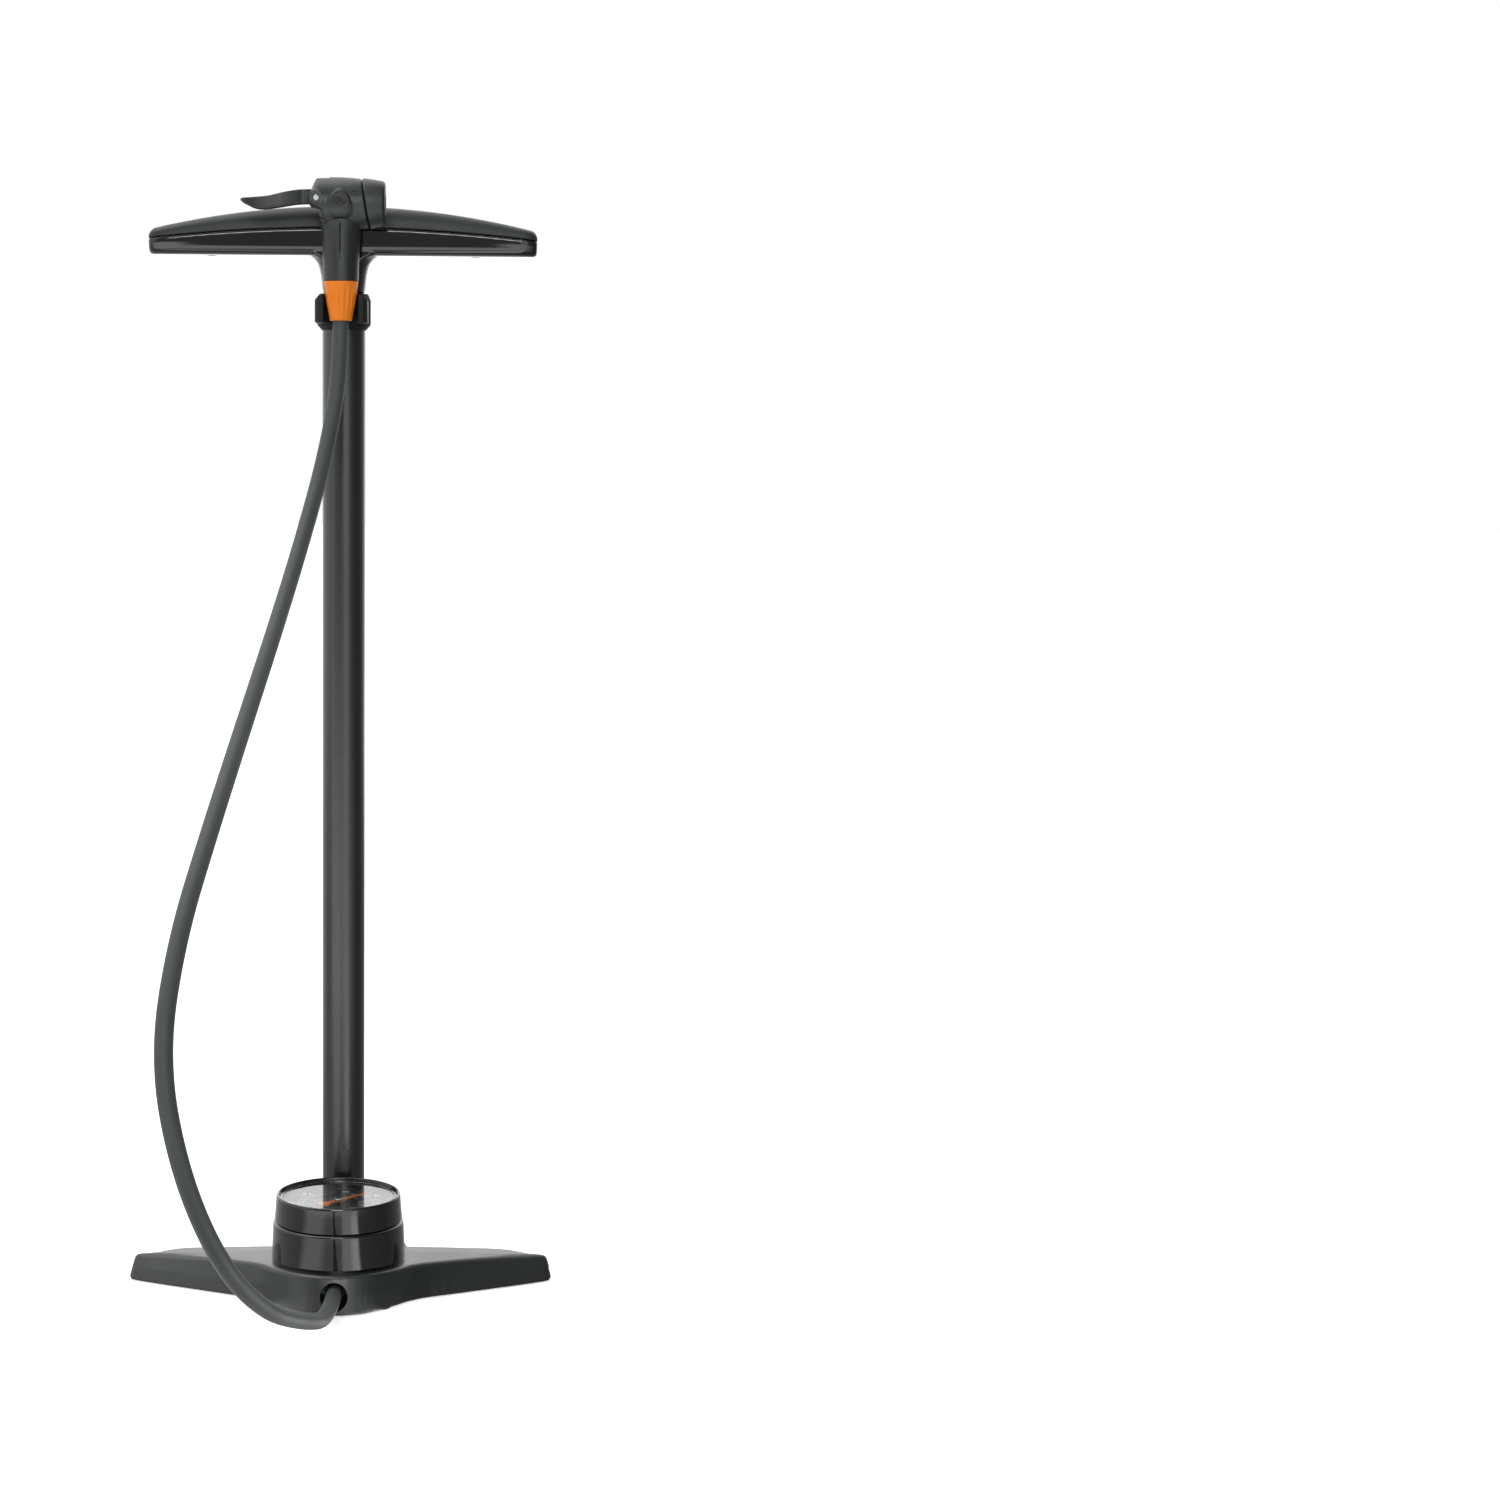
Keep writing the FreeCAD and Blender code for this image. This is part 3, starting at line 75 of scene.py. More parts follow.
# underside of the handle and its half length, in mm
HANDLE_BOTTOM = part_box("handle_screws")[0].z / MM - 1.6
HANDLE_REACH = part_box("handle_grip")[1].x / MM - 1.8
HEAD = Vector((0, middle("head_cap").y, middle("head_cap").z))
PIVOT = Vector((middle("lever_pin").x, HEAD.y, middle("lever_pin").z))
# middle of the head's badge, on the boss's face
BADGE = Vector((0.2 * MM, HEAD.y - 17.2 * MM, HEAD.z + 1.0 * MM))


# ------------------------------------------------------------------ settings
class PumpSizes(bpy.types.PropertyGroup):
    """Sizes that set the look of the finished surfaces."""

    hose_diameter: bpy.props.FloatProperty(
        name="Hose diameter", description="Outside of the rubber hose", default=0.0095,
        unit="LENGTH"
    )
    skin_voxel: bpy.props.FloatProperty(
        name="Skin voxel", description="Grid size of the blended mouldings", default=0.0009,
        unit="LENGTH"
    )
    numeral_height: bpy.props.FloatProperty(
        name="Numeral height", description="Height of the outer dial numerals", default=0.0043,
        unit="LENGTH"
    )
    small_numeral_height: bpy.props.FloatProperty(
        name="Inner numeral height", description="Height of the inner dial numerals",
        default=0.0031, unit="LENGTH"
    )


def colour_property(label, default):
    return bpy.props.StringProperty(
        name=label, description="sRGB hex colour of this finish", default=default
    )


class PumpColours(bpy.types.PropertyGroup):
    """Colours of the finishes, as sRGB hex."""

    matte: colour_property("Matte moulding", "1C2020")
    head: colour_property("Head moulding", "232727")
    gloss: colour_property("Polished moulding", "0C0E0E")
    barrel: colour_property("Barrel paint", "151818")
    hose: colour_property("Hose rubber", "454949")
    accent: colour_property("Orange moulding", "FF8A1C")
    print_white: colour_property("Dial numerals", "E9ECEC")
    print_grey: colour_property("Dial ring", "9DA1A1")
    dial: colour_property("Dial plate", "1F2323")
    floor: colour_property("Floor", "F2F2F2")
    floor_bounce: colour_property("Light thrown back by the floor", "A0A0A0")


# ------------------------------------------------------------------ mesh makers
def angles(steps):
    """Evenly spaced angles once round."""
    return [math.tau * k / steps for k in range(steps)]


def clamp(share):
    return max(0.0, min(1.0, share))


def smooth(mesh):
    mesh.polygons.foreach_set("use_smooth", [True] * len(mesh.polygons))


def crisp(obj, degrees):
    """Keeps edges sharp where two faces meet at more than this angle."""
    obj.data.set_sharp_from_angle(angle=math.radians(degrees))


def add_object(name, data):
    obj = bpy.data.objects.new(name, data)
    bpy.context.scene.collection.objects.link(obj)
    return obj


def mesh_piece(name, points, faces):
    """Mesh object from points in metres and faces, with outward normals."""
    mesh = bpy.data.meshes.new(name)
    mesh.from_pydata([tuple(p) for p in points], [], faces)
    work = bmesh.new()
    work.from_mesh(mesh)
    bmesh.ops.remove_doubles(work, verts=work.verts, dist=1e-6)
    bmesh.ops.recalc_face_normals(work, faces=work.faces)
    work.to_mesh(mesh)
    work.free()
    smooth(mesh)
    return add_object(name, mesh)


def quads(rows, count, wrapped=False):
    """Faces between closed rows of points; wrapped joins the last row to the first."""
    faces = []
    for row in range(rows if wrapped else rows - 1):
        a, b = row * count, (row + 1) % rows * count
        for index in range(count):
            after = (index + 1) % count
            faces.append((a + index, a + after, b + after, b + index))
    return faces


def lathe(name, profile, centre, turn=None, steps=128, ripple=None):
    """Closed (radius, height) profile in mm, turned about an upright axis or, with "X", about X."""
    points = []
    for angle in angles(steps):
        for index, (radius, height) in enumerate(profile):
            r = radius + (ripple(index, angle) if ripple else 0)
            a, b = r * math.cos(angle) * MM, r * math.sin(angle) * MM
            spot = Vector((height * MM, a, b)) if turn == "X" else Vector((a, b, height * MM))
            points.append(centre + spot)
    return mesh_piece(name, points, quads(steps, len(profile), wrapped=True))


def loft(name, rings):
    """Skin over rings of equal count, with both ends filled."""
    count, points = len(rings[0]), [p for ring in rings for p in ring]
    ends = [tuple(range(count)), tuple(range(len(points) - count, len(points)))]
    return mesh_piece(name, points, quads(len(rings), count) + ends)


def plate(name, outline, low, high):
    """Flat outline of (x, y) pairs in metres, raised from low to high."""
    return loft(name, [[Vector((x, y, z)) for x, y in outline] for z in (low, high)])


def rectangle(x0, x1, y0, y1):
    return [(x0, y0), (x1, y0), (x1, y1), (x0, y1)]


def end_turn(x, reach, length):
    """0 along a beam, rising to 1 round the corner in the last length before its end at reach."""
    past = max(0.0, abs(x) - (reach - length)) / length
    return 1 - math.sqrt(max(0.0, 1 - past ** 2))


def turned_profile(points, radius=0.5, steps=4):
    """Profile whose corners are rounded with the given radius, all in mm."""
    result = []
    count = len(points)
    for index in range(count):
        before, corner, after = (Vector(points[(index + k) % count]) for k in (-1, 0, 1))
        to_before, to_after = before - corner, after - corner
        if corner.x < 0.01:
            result.append(tuple(corner))
            continue
        cut = min(radius, to_before.length * 0.4, to_after.length * 0.4)
        start = corner + to_before.normalized() * cut
        end = corner + to_after.normalized() * cut
        for step in range(steps + 1):
            t = step / steps
            spot = start * (1 - t) ** 2 + corner * 2 * t * (1 - t) + end * t ** 2
            result.append(tuple(spot))
    return result


def along(table, x):
    """Smooth curve through (x, value) pairs in rising x."""
    x = max(table[0][0], min(table[-1][0], x))
    index = max(k for k in range(len(table) - 1) if table[k][0] <= x)
    (x0, y0), (x1, y1) = table[index], table[index + 1]
    xa, ya = table[max(0, index - 1)]
    xb, yb = table[min(len(table) - 1, index + 2)]
    span = x1 - x0
    rise0, rise1 = (y1 - ya) / (x1 - xa) * span, (yb - y0) / (xb - x0) * span
    t = (x - x0) / span
    return (
        y0 * (1 + 2 * t) * (1 - t) ** 2 + rise0 * t * (1 - t) ** 2
        + y1 * t ** 2 * (3 - 2 * t) + rise1 * t ** 2 * (t - 1)
    )


def prism(name, outline, front, back):
    """Flat outline of (x, z) pairs in metres, drawn along Y from front to back."""
    return loft(name, [[Vector((x, y, z)) for x, z in outline] for y in (front, back)])


def add_modifier(obj, kind, **settings):
    modifier = obj.modifiers.new(kind.title(), kind)
    for key, value in settings.items():
        setattr(modifier, key, value)
    return modifier


def rounded(obj, width, segments=3, angle=32):
    """Rounds the sharp edges and evens out the shading."""
    add_modifier(
        obj, "BEVEL", width=width, segments=segments, limit_method="ANGLE",
        angle_limit=math.radians(angle),
    )
    add_modifier(obj, "WEIGHTED_NORMAL", keep_sharp=True)
    return obj


def applied(obj):
    """Turns the object's modifiers into mesh."""
    graph = bpy.context.evaluated_depsgraph_get()
    mesh = bpy.data.meshes.new_from_object(obj.evaluated_get(graph))
    obj.modifiers.clear()
    obj.data = mesh
    return obj


def merged(name, objects):
    """One object from several; the others are removed."""
    work = bmesh.new()
    for obj in objects:
        applied(obj)
        work.from_mesh(obj.data)
        bpy.data.objects.remove(obj)
    mesh = bpy.data.meshes.new(name)
    work.to_mesh(mesh)
    work.free()
    smooth(mesh)
    return add_object(name, mesh)


def cut_with(obj, cutters):
    """Cuts closed meshes out of obj and removes them."""
    for cutter in cutters:
        add_modifier(obj, "BOOLEAN", operation="DIFFERENCE", object=cutter, solver="EXACT")
    bpy.context.view_layer.update()
    applied(obj)
    for cutter in cutters:
        bpy.data.objects.remove(cutter)
    return obj


def blended_skin(obj, voxel, passes):
    """Fuses overlapping forms into one skin whose inner corners flow like a moulding's fillets."""
    add_modifier(obj, "REMESH", mode="VOXEL", voxel_size=voxel, use_smooth_shade=True)
    add_modifier(obj, "SMOOTH", factor=0.5, iterations=passes)
    applied(obj)
    smooth(obj.data)
    return obj


def cylinder(name, radius, start, end, steps=64):
    """Closed cylinder in metres between two points."""
    turn = (end - start).normalized().to_track_quat("Z", "Y").to_matrix()
    circle = [turn @ Vector((radius * math.cos(a), radius * math.sin(a), 0)) for a in angles(steps)]
    return loft(name, [[centre + p for p in circle] for centre in (start, end)])


def cross_pin(name, radius, centre, front, back, steps=48):
    """Cylinder along Y through centre; its radius and its ends' places from there are in mm."""
    return cylinder(
        name, radius * MM, *(centre + Vector((0, y, 0)) * MM for y in (front, back)), steps
    )


# ------------------------------------------------------------------ materials
def linear(hex_colour, alpha=1.0):
    """sRGB hex to the linear colour that a shader takes."""
    values = [int(hex_colour[k:k + 2], 16) / 255 for k in (0, 2, 4)]
    return tuple(v / 12.92 if v <= 0.04045 else ((v + 0.055) / 1.055) ** 2.4 for v in values) + (
        alpha,
    )


def add_node(tree, kind, links=None, **settings):
    """Adds a node; settings name inputs or attributes, links map inputs to other nodes' outputs."""
    node = tree.nodes.new(kind)
    for key, value in settings.items():
        label = key.replace("_", " ").title() if key[0].islower() else key.replace("_", " ")
        if hasattr(node, key):
            setattr(node, key, value)
        else:
            node.inputs[label].default_value = value
    for socket, source in (links or {}).items():
        tree.links.new(source, node.inputs[socket])
    return node


def new_material(name):
    material = bpy.data.materials.new(name)
    material.use_nodes = True
    material.node_tree.nodes.clear()
    return material


def surface(name, colour, roughness, grain_mm=0.8, bump=0.05, wear=0.06, **shader):
    """Finish with a fine grain in height and roughness and a broad, faint change of tone.

    grain_mm is the size of the surface's grain, as coarse as it has to be to show.
    """
    material = new_material(name)
    tree = material.node_tree
    place = add_node(tree, "ShaderNodeTexCoord").outputs["Object"]
    grain = add_node(
        tree, "ShaderNodeTexNoise", {"Vector": place}, scale=1 / (grain_mm * MM), detail=3.0,
        roughness=0.6
    )
    # patches of tone about 45 mm across
    cloud = add_node(
        tree, "ShaderNodeTexNoise", {"Vector": place}, scale=22.0, detail=4.0, roughness=0.55
    )
    tone = add_node(tree, "ShaderNodeMix", {"Factor": cloud.outputs["Fac"]}, data_type="RGBA")
    base = linear(colour)[:3]
    for socket, share in ((6, 1 - wear), (7, 1 + wear)):
        tone.inputs[socket].default_value = tuple(min(1, c * share) for c in base) + (1,)
    rough = add_node(
        tree, "ShaderNodeMapRange", {"Value": cloud.outputs["Fac"]}, from_min=0.3, from_max=0.7,
        to_min=max(0.02, roughness * 0.9), to_max=min(1, roughness * 1.1),
    )
    height = add_node(
        tree, "ShaderNodeBump", {"Height": grain.outputs["Fac"]}, strength=bump,
        distance=grain_mm * MM * 0.5
    )
    principled = add_node(
        tree, "ShaderNodeBsdfPrincipled",
        {
            "Base Color": tone.outputs[2], "Roughness": rough.outputs["Result"],
            "Normal": height.outputs["Normal"],
        },
    )
    for key, value in shader.items():
        principled.inputs[key.replace("_", " ").title().replace("Ior", "IOR")].default_value = value
    add_node(tree, "ShaderNodeOutputMaterial", {"Surface": principled.outputs["BSDF"]})
    return material


MATERIALS = {}


def make_materials(colours):
    """Every finish on the pump, named for its stuff."""
    # glass-filled nylon, spark-eroded mould: a dull sheen broken by a fine even grain
    MATERIALS["matte"] = surface(
        "spark_eroded_nylon", colours.matte, 0.34, 0.7, 0.10, specular_ior_level=0.7
    )
    # the same stuff a shade lighter, as moulded for the valve head
    MATERIALS["head"] = surface("head_moulded_nylon", colours.head, 0.40, 0.6, 0.12)
    # the handle's grip: the foot's nylon from a coarser spark-eroded mould, so duller
    MATERIALS["grip"] = surface(
        "grip_moulded_nylon", "272B2B", 0.48, 0.9, 0.12, specular_ior_level=0.4
    )
    # nylon of the cap, black and deader than the foot; part of its extra darkness is painted shade
    # of the handle above it
    MATERIALS["cap"] = surface("black_cap_nylon_with_painted_shade", "1B1E1E", 0.6, 0.6, 0.10, specular_ior_level=0.2)
    # ABS from a polished mould: sharp reflections, only the faintest waviness
    MATERIALS["gloss"] = surface(
        "polished_abs", colours.gloss, 0.09, 6.0, 0.015, 0.02, coat_weight=0.3
    )
    # powder coat on the drawn tube: satin, with a light orange peel about 1.5 mm across
    MATERIALS["barrel"] = surface(
        "powder_coated_steel_tube", colours.barrel, 0.28, 1.5, 0.05, 0.03, specular_ior_level=0.8
    )
    # extruded EPDM rubber: dull, greyish, with a soft bloom
    MATERIALS["hose"] = surface(
        "extruded_epdm_hose", colours.hose, 0.55, 1.0, 0.12, 0.08, specular_ior_level=0.35
    )
    # polypropylene through-coloured orange, satin mould
    MATERIALS["accent"] = surface(
        "orange_polypropylene", colours.accent, 0.40, 0.8, 0.06, 0.03, specular_ior_level=0.35
    )
    # soft black nitrile: O-rings, pads and seals
    MATERIALS["rubber"] = surface("black_nitrile_rubber", "1B1C1C", 0.62, 0.6, 0.15)
    # zinc-plated steel: bright with a slight blue grey, fine turning marks
    MATERIALS["steel"] = surface("zinc_plated_steel", "B9BCBE", 0.26, 0.3, 0.06, 0.05, metallic=1.0)
    # stainless lever pin, tumbled: a dull silver dot
    MATERIALS["pin"] = surface(
        "tumbled_stainless_pin", "A9ACAE", 0.42, 0.4, 0.08, 0.05, metallic=1.0
    )
    # hard-chromed and polished steel rod: a near mirror
    MATERIALS["rod"] = surface("chromed_piston_rod", "D4D6D8", 0.10, 2.0, 0.01, 0.02, metallic=1.0)
    # free-cutting brass, machined: yellow, with fine tool marks
    MATERIALS["brass"] = surface("machined_brass", "C9A558", 0.24, 0.4, 0.05, 0.06, metallic=1.0)
    # blackened steel of the two screws under the handle: a dull, oily black
    MATERIALS["black_steel"] = surface("black_oxide_steel", "1A1B1B", 0.5, 0.4, 0.05, 0.04)
    # brass coloured near black as painted shade of the port's hollow: the hose socket is dark all
    # the way in
    MATERIALS["brass_painted_dark_for_shade"] = surface(
        "brass_painted_black_for_shade", "161616", 0.3, 0.4, 0.05, 0.04, metallic=0.4
    )
    # die-cast aluminium: grey, with a slightly rough, dull skin
    MATERIALS["aluminium"] = surface(
        "die_cast_aluminium", "B4B6B6", 0.42, 0.8, 0.14, 0.05, metallic=1.0
    )
    # natural acetal: waxy off-white bearings and piston
    MATERIALS["acetal"] = surface("natural_acetal", "E4E1D8", 0.34, 0.8, 0.04)
    # screen-printed dial: flat black ink on an aluminium blank, with white and grey over it
    MATERIALS["dial"] = surface("dial_black_ink", colours.dial, 0.55, 0.5, 0.03, 0.02)
    MATERIALS["white_ink"] = surface("dial_white_ink", colours.print_white, 0.5, 0.5, 0.02, 0.01)
    MATERIALS["grey_ink"] = surface("dial_grey_ink", colours.print_grey, 0.5, 0.5, 0.02, 0.01)
    # injection-moulded PMMA lens: clear, glossy, bends the dial slightly at its rim
    MATERIALS["lens"] = surface(
        "clear_pmma_lens", "F6FAFA", 0.03, 8.0, 0.004, 0.0, transmission_weight=1.0, ior=1.49
    )


def dress(obj, key):
    obj.data.materials.clear()
    obj.data.materials.append(MATERIALS[key])
    return obj


def place_piece(obj, body, finish, replaced=()):
    """Gives a finished piece its material, its body and the nodes it stands for."""
    dress(obj, finish)
    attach(obj, body)
    if replaced:
        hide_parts(*replaced)
    return obj


# ------------------------------------------------------------------ carried-over pieces
# the hose ferrule's near-black finish is painted shade of the hose port's hollow
NODE_FINISH = {
    "foot_pads": "rubber", "manifold_block": "aluminium", "manifold_screws": "steel",
    "barrel_o_ring": "rubber", "check_valve_seat": "brass", "check_valve_poppet": "acetal",
    "check_valve_spring": "steel", "hose_ferrule": "brass_painted_dark_for_shade", "movement_frame": "brass",
    "sector_gear": "brass", "pointer_arbor": "steel", "bourdon_tube": "brass",
    "gauge_socket": "brass", "rod_bush": "acetal", "rod_wiper": "rubber", "piston_rod": "rod",
    "rod_buffer": "rubber", "piston_body": "acetal", "piston_seal": "rubber",
    "piston_washer": "steel", "piston_screw": "steel", "handle_screws": "black_steel",
    "rod_bolt": "steel", "head_barb": "brass", "valve_seal": "rubber", "head_plunger": "acetal",
    "plunger_o_ring": "rubber", "lever_pin": "steel", "dial_plate": "dial", "dial_screws": "steel",
    "barrel_tube": "barrel", "gauge_lens": "lens", "base_body": "matte", "gauge_housing": "gloss",
    "gauge_bezel": "gloss", "pointer": "accent", "pointer_hub": "steel", "barrel_cap": "cap",
    "handle_body": "gloss", "handle_grip": "grip", "badge_ring": "gloss", "badge_disc": "matte",
    "hose_collar": "accent", "head_body": "head", "head_neck": "head", "head_cap": "head",
    "lever": "head", "head_badge": "gloss", "hose": "hose",
}


class PUMP_OT_inner_pieces(bpy.types.Operator):
    """Gives each piece carried over from the construction frame its finish."""

    bl_idname = "pump.inner_pieces"
    bl_label = "Construction pieces"

    def execute(self, context):
        for name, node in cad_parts.items():
            dress(node, NODE_FINISH[name])
            smooth(node.data)
            crisp(node, 30)
        return {"FINISHED"}


# ------------------------------------------------------------------ barrel and cap
class PUMP_OT_barrel(bpy.types.Operator):
    """Turns the painted barrel tube with its fine end edges."""

    bl_idname = "pump.barrel"
    bl_label = "Barrel"

    def execute(self, context):
        wall = 1.5
        levels = [BARREL_FOOT + (BARREL_TOP - BARREL_FOOT) * k / 12 for k in range(13)]
        profile = [(BARREL_R, z) for z in levels] + [(BARREL_R - wall, z) for z in reversed(levels)]
        tube = lathe("barrel_skin", profile, ORIGIN, steps=160)
        crisp(tube, 40)
        place_piece(tube, "pump_base", "barrel", ["barrel_tube"])
        self.cap()
        return {"FINISHED"}

    def cap(self):
        """Ribbed screw cap, with the jaw for the head in front."""
        r, low, high = round_size("barrel_cap")
        barrel = BARREL_R + 0.05
        corners = [
            (barrel, low), (r - 3.0, low), (r, low + 3.4), (r, low + 4.4), (r, high - 4.6),
            (r, high - 3.6), (r - 1.6, high), (7.5, high), (7.5, high - 3), (barrel, high - 3),
        ]
        profile = turned_profile(corners, 0.5, 2)
        rib_count, rib_depth = 40, 0.45

        def ribs(index, angle):
            """Grooves between the ribs, all round but for the front, where the jaw is."""
            radius, height = profile[index]
            inside = low + 4.2 < height < high - 4.2 and radius > r - 1
            facing = math.sin(angle) > -0.5
            return -rib_depth if inside and facing and math.cos(rib_count * angle) <= 0.2 else 0.0

        ring = lathe("cap_ring", profile, ORIGIN, steps=320, ripple=ribs)
        whole = merged("barrel_cap_skin", [ring, self.jaw(r, low, high)])
        crisp(whole, 38)
        place_piece(whole, "pump_base", "cap", ["barrel_cap"])

    def jaw(self, r, low, high):
        """Two cheeks that run forward from the cap and hold the collar between them."""
        half = r - 0.6
        gap = 10.1
        front = HEAD.y / MM - 3.0
        quarter = [math.pi / 2 * k / 10 for k in range(11)]
        cheek = [
            (half, -11.0), (half, front + 3.0), (half - 2.2, front), (gap + 0.6, front),
            (gap, front + 0.8),
        ]
        cheek += [(gap * math.cos(a), HEAD.y / MM + gap * math.sin(a)) for a in quarter]
        outline = cheek + [(-x, y) for x, y in cheek[-2::-1]]
        top = high - 1.6
        jaw = plate("cap_jaw", [(x * MM, y * MM) for x, y in outline], (low + 3.6) * MM, top * MM)
        chamfer = [
            (half - 3.2, top + 1), (half + 1, top + 1), (half + 1, top - 3.4), (half, top - 3.4),
            (half - 3.2, top),
        ]
        cut_with(jaw, [
            prism(
                "cut_corner", [(side * x * MM, z * MM) for x, z in chamfer], (front - 2) * MM,
                -5 * MM,
            )
            for side in (1, -1)
        ])
        return rounded(jaw, 0.5 * MM)


# ------------------------------------------------------------------ hose
# The hose's own route, in millimetres, from the ferrule in the base to the spigot in the neck.
HOSE_ROUTE = [
    (0, -88, 11), (0, -153, 12), (-10, -226, 34), (-25, -302, 63.5), (-42, -364, 107),
    (-58, -396, 162), (-68, -394, 218), (-63, -360, 270), (-52, -303, 317), (-41, -230, 364),
    (-30, -158, 410), (-19, -97, 457), (-8, -54, 506), (0, -33, 557), (0, -33, 606),
]


class PUMP_OT_hose(bpy.types.Operator):
    """Runs the rubber hose from the foot of the pump up to the valve head."""

    bl_idname = "pump.hose"
    bl_label = "Hose"

    def execute(self, context):
        sizes = context.scene.pump_sizes
        curve = bpy.data.curves.new("air_hose", "CURVE")
        curve.dimensions = "3D"
        spline = curve.splines.new("NURBS")
        spline.points.add(len(HOSE_ROUTE) - 1)
        for point, place in zip(spline.points, HOSE_ROUTE):
            point.co = (*(value * MM for value in place), 1)
        spline.order_u = 3
        spline.use_endpoint_u = True
        spline.resolution_u = 16
        curve.bevel_depth = sizes.hose_diameter / 2
        curve.bevel_resolution = 12
        curve.use_fill_caps = True
        hose = add_object("air_hose", curve)
        place_piece(hose, "pump_base", "hose", ["hose"])
        return {"FINISHED"}


# ------------------------------------------------------------------ base
# Lines of the foot seen from above: distance from the middle plane, then Y, in mm.
FRONT_EDGE = [
    (0, -109.5), (8, -108.8), (16, -106.2), (24, -101.0), (30.5, -95.0), (37, -87.6), (42, -82.0),
    (48, -76.6), (55, -72.2), (63, -68.6), (75, -63.2), (90, -56.2), (105, -49.2), (118, -43.0),
    (125, -39.2), (130, -36.0),
]
FRONT_RIDGE = [
    (0, -102.5), (8, -101.8), (16, -99.4), (24, -95.4), (30.5, -90.4), (37, -83.0), (42, -76.0),
    (48, -69.0), (55, -62.8), (63, -57.3), (75, -50.3), (90, -42.8), (105, -36.2), (118, -31.1),
    (125, -28.5), (130, -27.0),
]
REAR_EDGE = [
    (0, -11.5), (40, -11.0), (60, -9.4), (80, -7.6), (95, -6.4), (105, -8.0), (114, -12.6),
    (122, -19.0), (130, -26.0),
]
FRONT_HEIGHT = [(0, 22.9), (26, 22.7), (42, 21.2), (60, 19.1), (90, 17.0), (115, 15.3), (130, 14.3)]
REAR_HEIGHT = [(0, 15.5), (40, 15.5), (90, 13.3), (130, 11.5)]
WING_CREASE = -33.0
FOOT_LOW = 0.5


class PUMP_OT_foot(bpy.types.Operator):
    """Moulds the winged foot with its barrel shroud and hose port."""

    bl_idname = "pump.foot"
    bl_label = "Foot"

    def execute(self, context):
        body = merged("foot_skin", [self.wings(), self.shroud()])
        blended_skin(body, context.scene.pump_sizes.skin_voxel, 5)
        self.cut_features(body)
        crisp(body, 50)
        place_piece(body, "pump_base", "matte", ["base_body"])
        return {"FINISHED"}

    def wings(self):
        """Both swept wings and the round front as one loft along X."""
        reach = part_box("base_body")[1].x / MM + 1.0
        near = [4.0 * k for k in range(14)]
        far = [56 + (reach - 62) * k / 10 for k in range(10)]
        tip = [reach - d for d in (6, 4, 2.5, 1.2, 0.5, 0)]
        half = near + far + tip
        rings = []
        for x in [-x for x in reversed(half[1:])] + half:
            front, ridge, rear = (
                along(line, abs(x)) for line in (FRONT_EDGE, FRONT_RIDGE, REAR_EDGE)
            )
            high, low = along(FRONT_HEIGHT, abs(x)), along(REAR_HEIGHT, abs(x))
            curl = end_turn(x, reach, 4.0)
            drop, pull, foot = 2.6 * curl, 2.4 * curl, FOOT_LOW + 1.6 * curl
            crease = max(ridge + 4.0, min(rear - 6.0, WING_CREASE))
            share = (crease - rear) / (ridge - rear)
            corners = [
                (rear - pull, foot), (rear - pull - 0.4, low * 0.8), (rear - pull - 2.5, low),
                (crease, low + (high - low) * share + 0.9), (ridge + 1.4, high),
                (ridge - 0.9, high - 1.2), ((ridge + front) / 2 - 0.8, high * 0.5),
                (front + pull, foot),
            ]
            lean = 2.8 * clamp((abs(x) - reach + 30) / 30)
            rings.append([
                Vector((
                    math.copysign(abs(x) - lean * (z - FOOT_LOW) / high, x), y, z - drop * (z > 5)
                )) * MM
                for y, z in corners
            ])
        return loft("foot_wings", rings)

    def shroud(self):
        """Bell round the barrel, from the wings' roots to a close collar."""
        neck = BARREL_R + 2.6
        # half width, front, rear and height of each level
        rows = [
            (43.0, -34.0, 24.5, 6.0), (40.0, -33.0, 24.3, 12.0), (36.0, -32.0, 23.8, 18.5),
            (31.5, -30.0, 22.6, 26.0), (27.0, -27.0, 21.0, 34.0), (22.0, -22.8, 18.8, 41.5),
            (18.0, -18.0, 16.8, 47.5), (neck + 0.3, -neck, neck, 51.5),
            (neck - 1.0, -neck + 1.0, neck - 1.0, 53.0),
        ]
        rings = []
        for half, front, rear, height in rows:
            centre, depth = (front + rear) / 2, (rear - front) / 2
            rings.append([
                Vector((half * math.cos(a), centre + depth * math.sin(a), height)) * MM
                for a in angles(72)
            ])
        return loft("foot_shroud", rings)

    def cut_features(self, body):
        """Gauge seat, barrel socket and hose port."""
        seat, port, over = HOUSING_R + 0.1, 11, 90
        cuts = [
            ("cut_seat", seat, (0, GAUGE.y / MM, HOUSING_FOOT - 1.6), (0, GAUGE.y / MM, over), 128),
            ("cut_well", seat - 6, (0, GAUGE.y / MM, 5), (0, GAUGE.y / MM, 40), 96),
            ("cut_socket", BARREL_R + 0.05, (0, 0, 4), (0, 0, over), 96),
            ("cut_port", 8.25, (0, -125, port), (0, -78, port), 64),
        ]
        cut_with(body, [
            cylinder(name, radius * MM, Vector(start) * MM, Vector(end) * MM, steps)
            for name, radius, start, end, steps in cuts
        ])


# ------------------------------------------------------------------ gauge
def pressure_angle(bar):
    """Direction of a pressure on the dial: 270 degrees for 12 bar, clockwise from above."""
    return math.radians(45.0 - 22.5 * bar)


PSI_PER_BAR = 14.5038


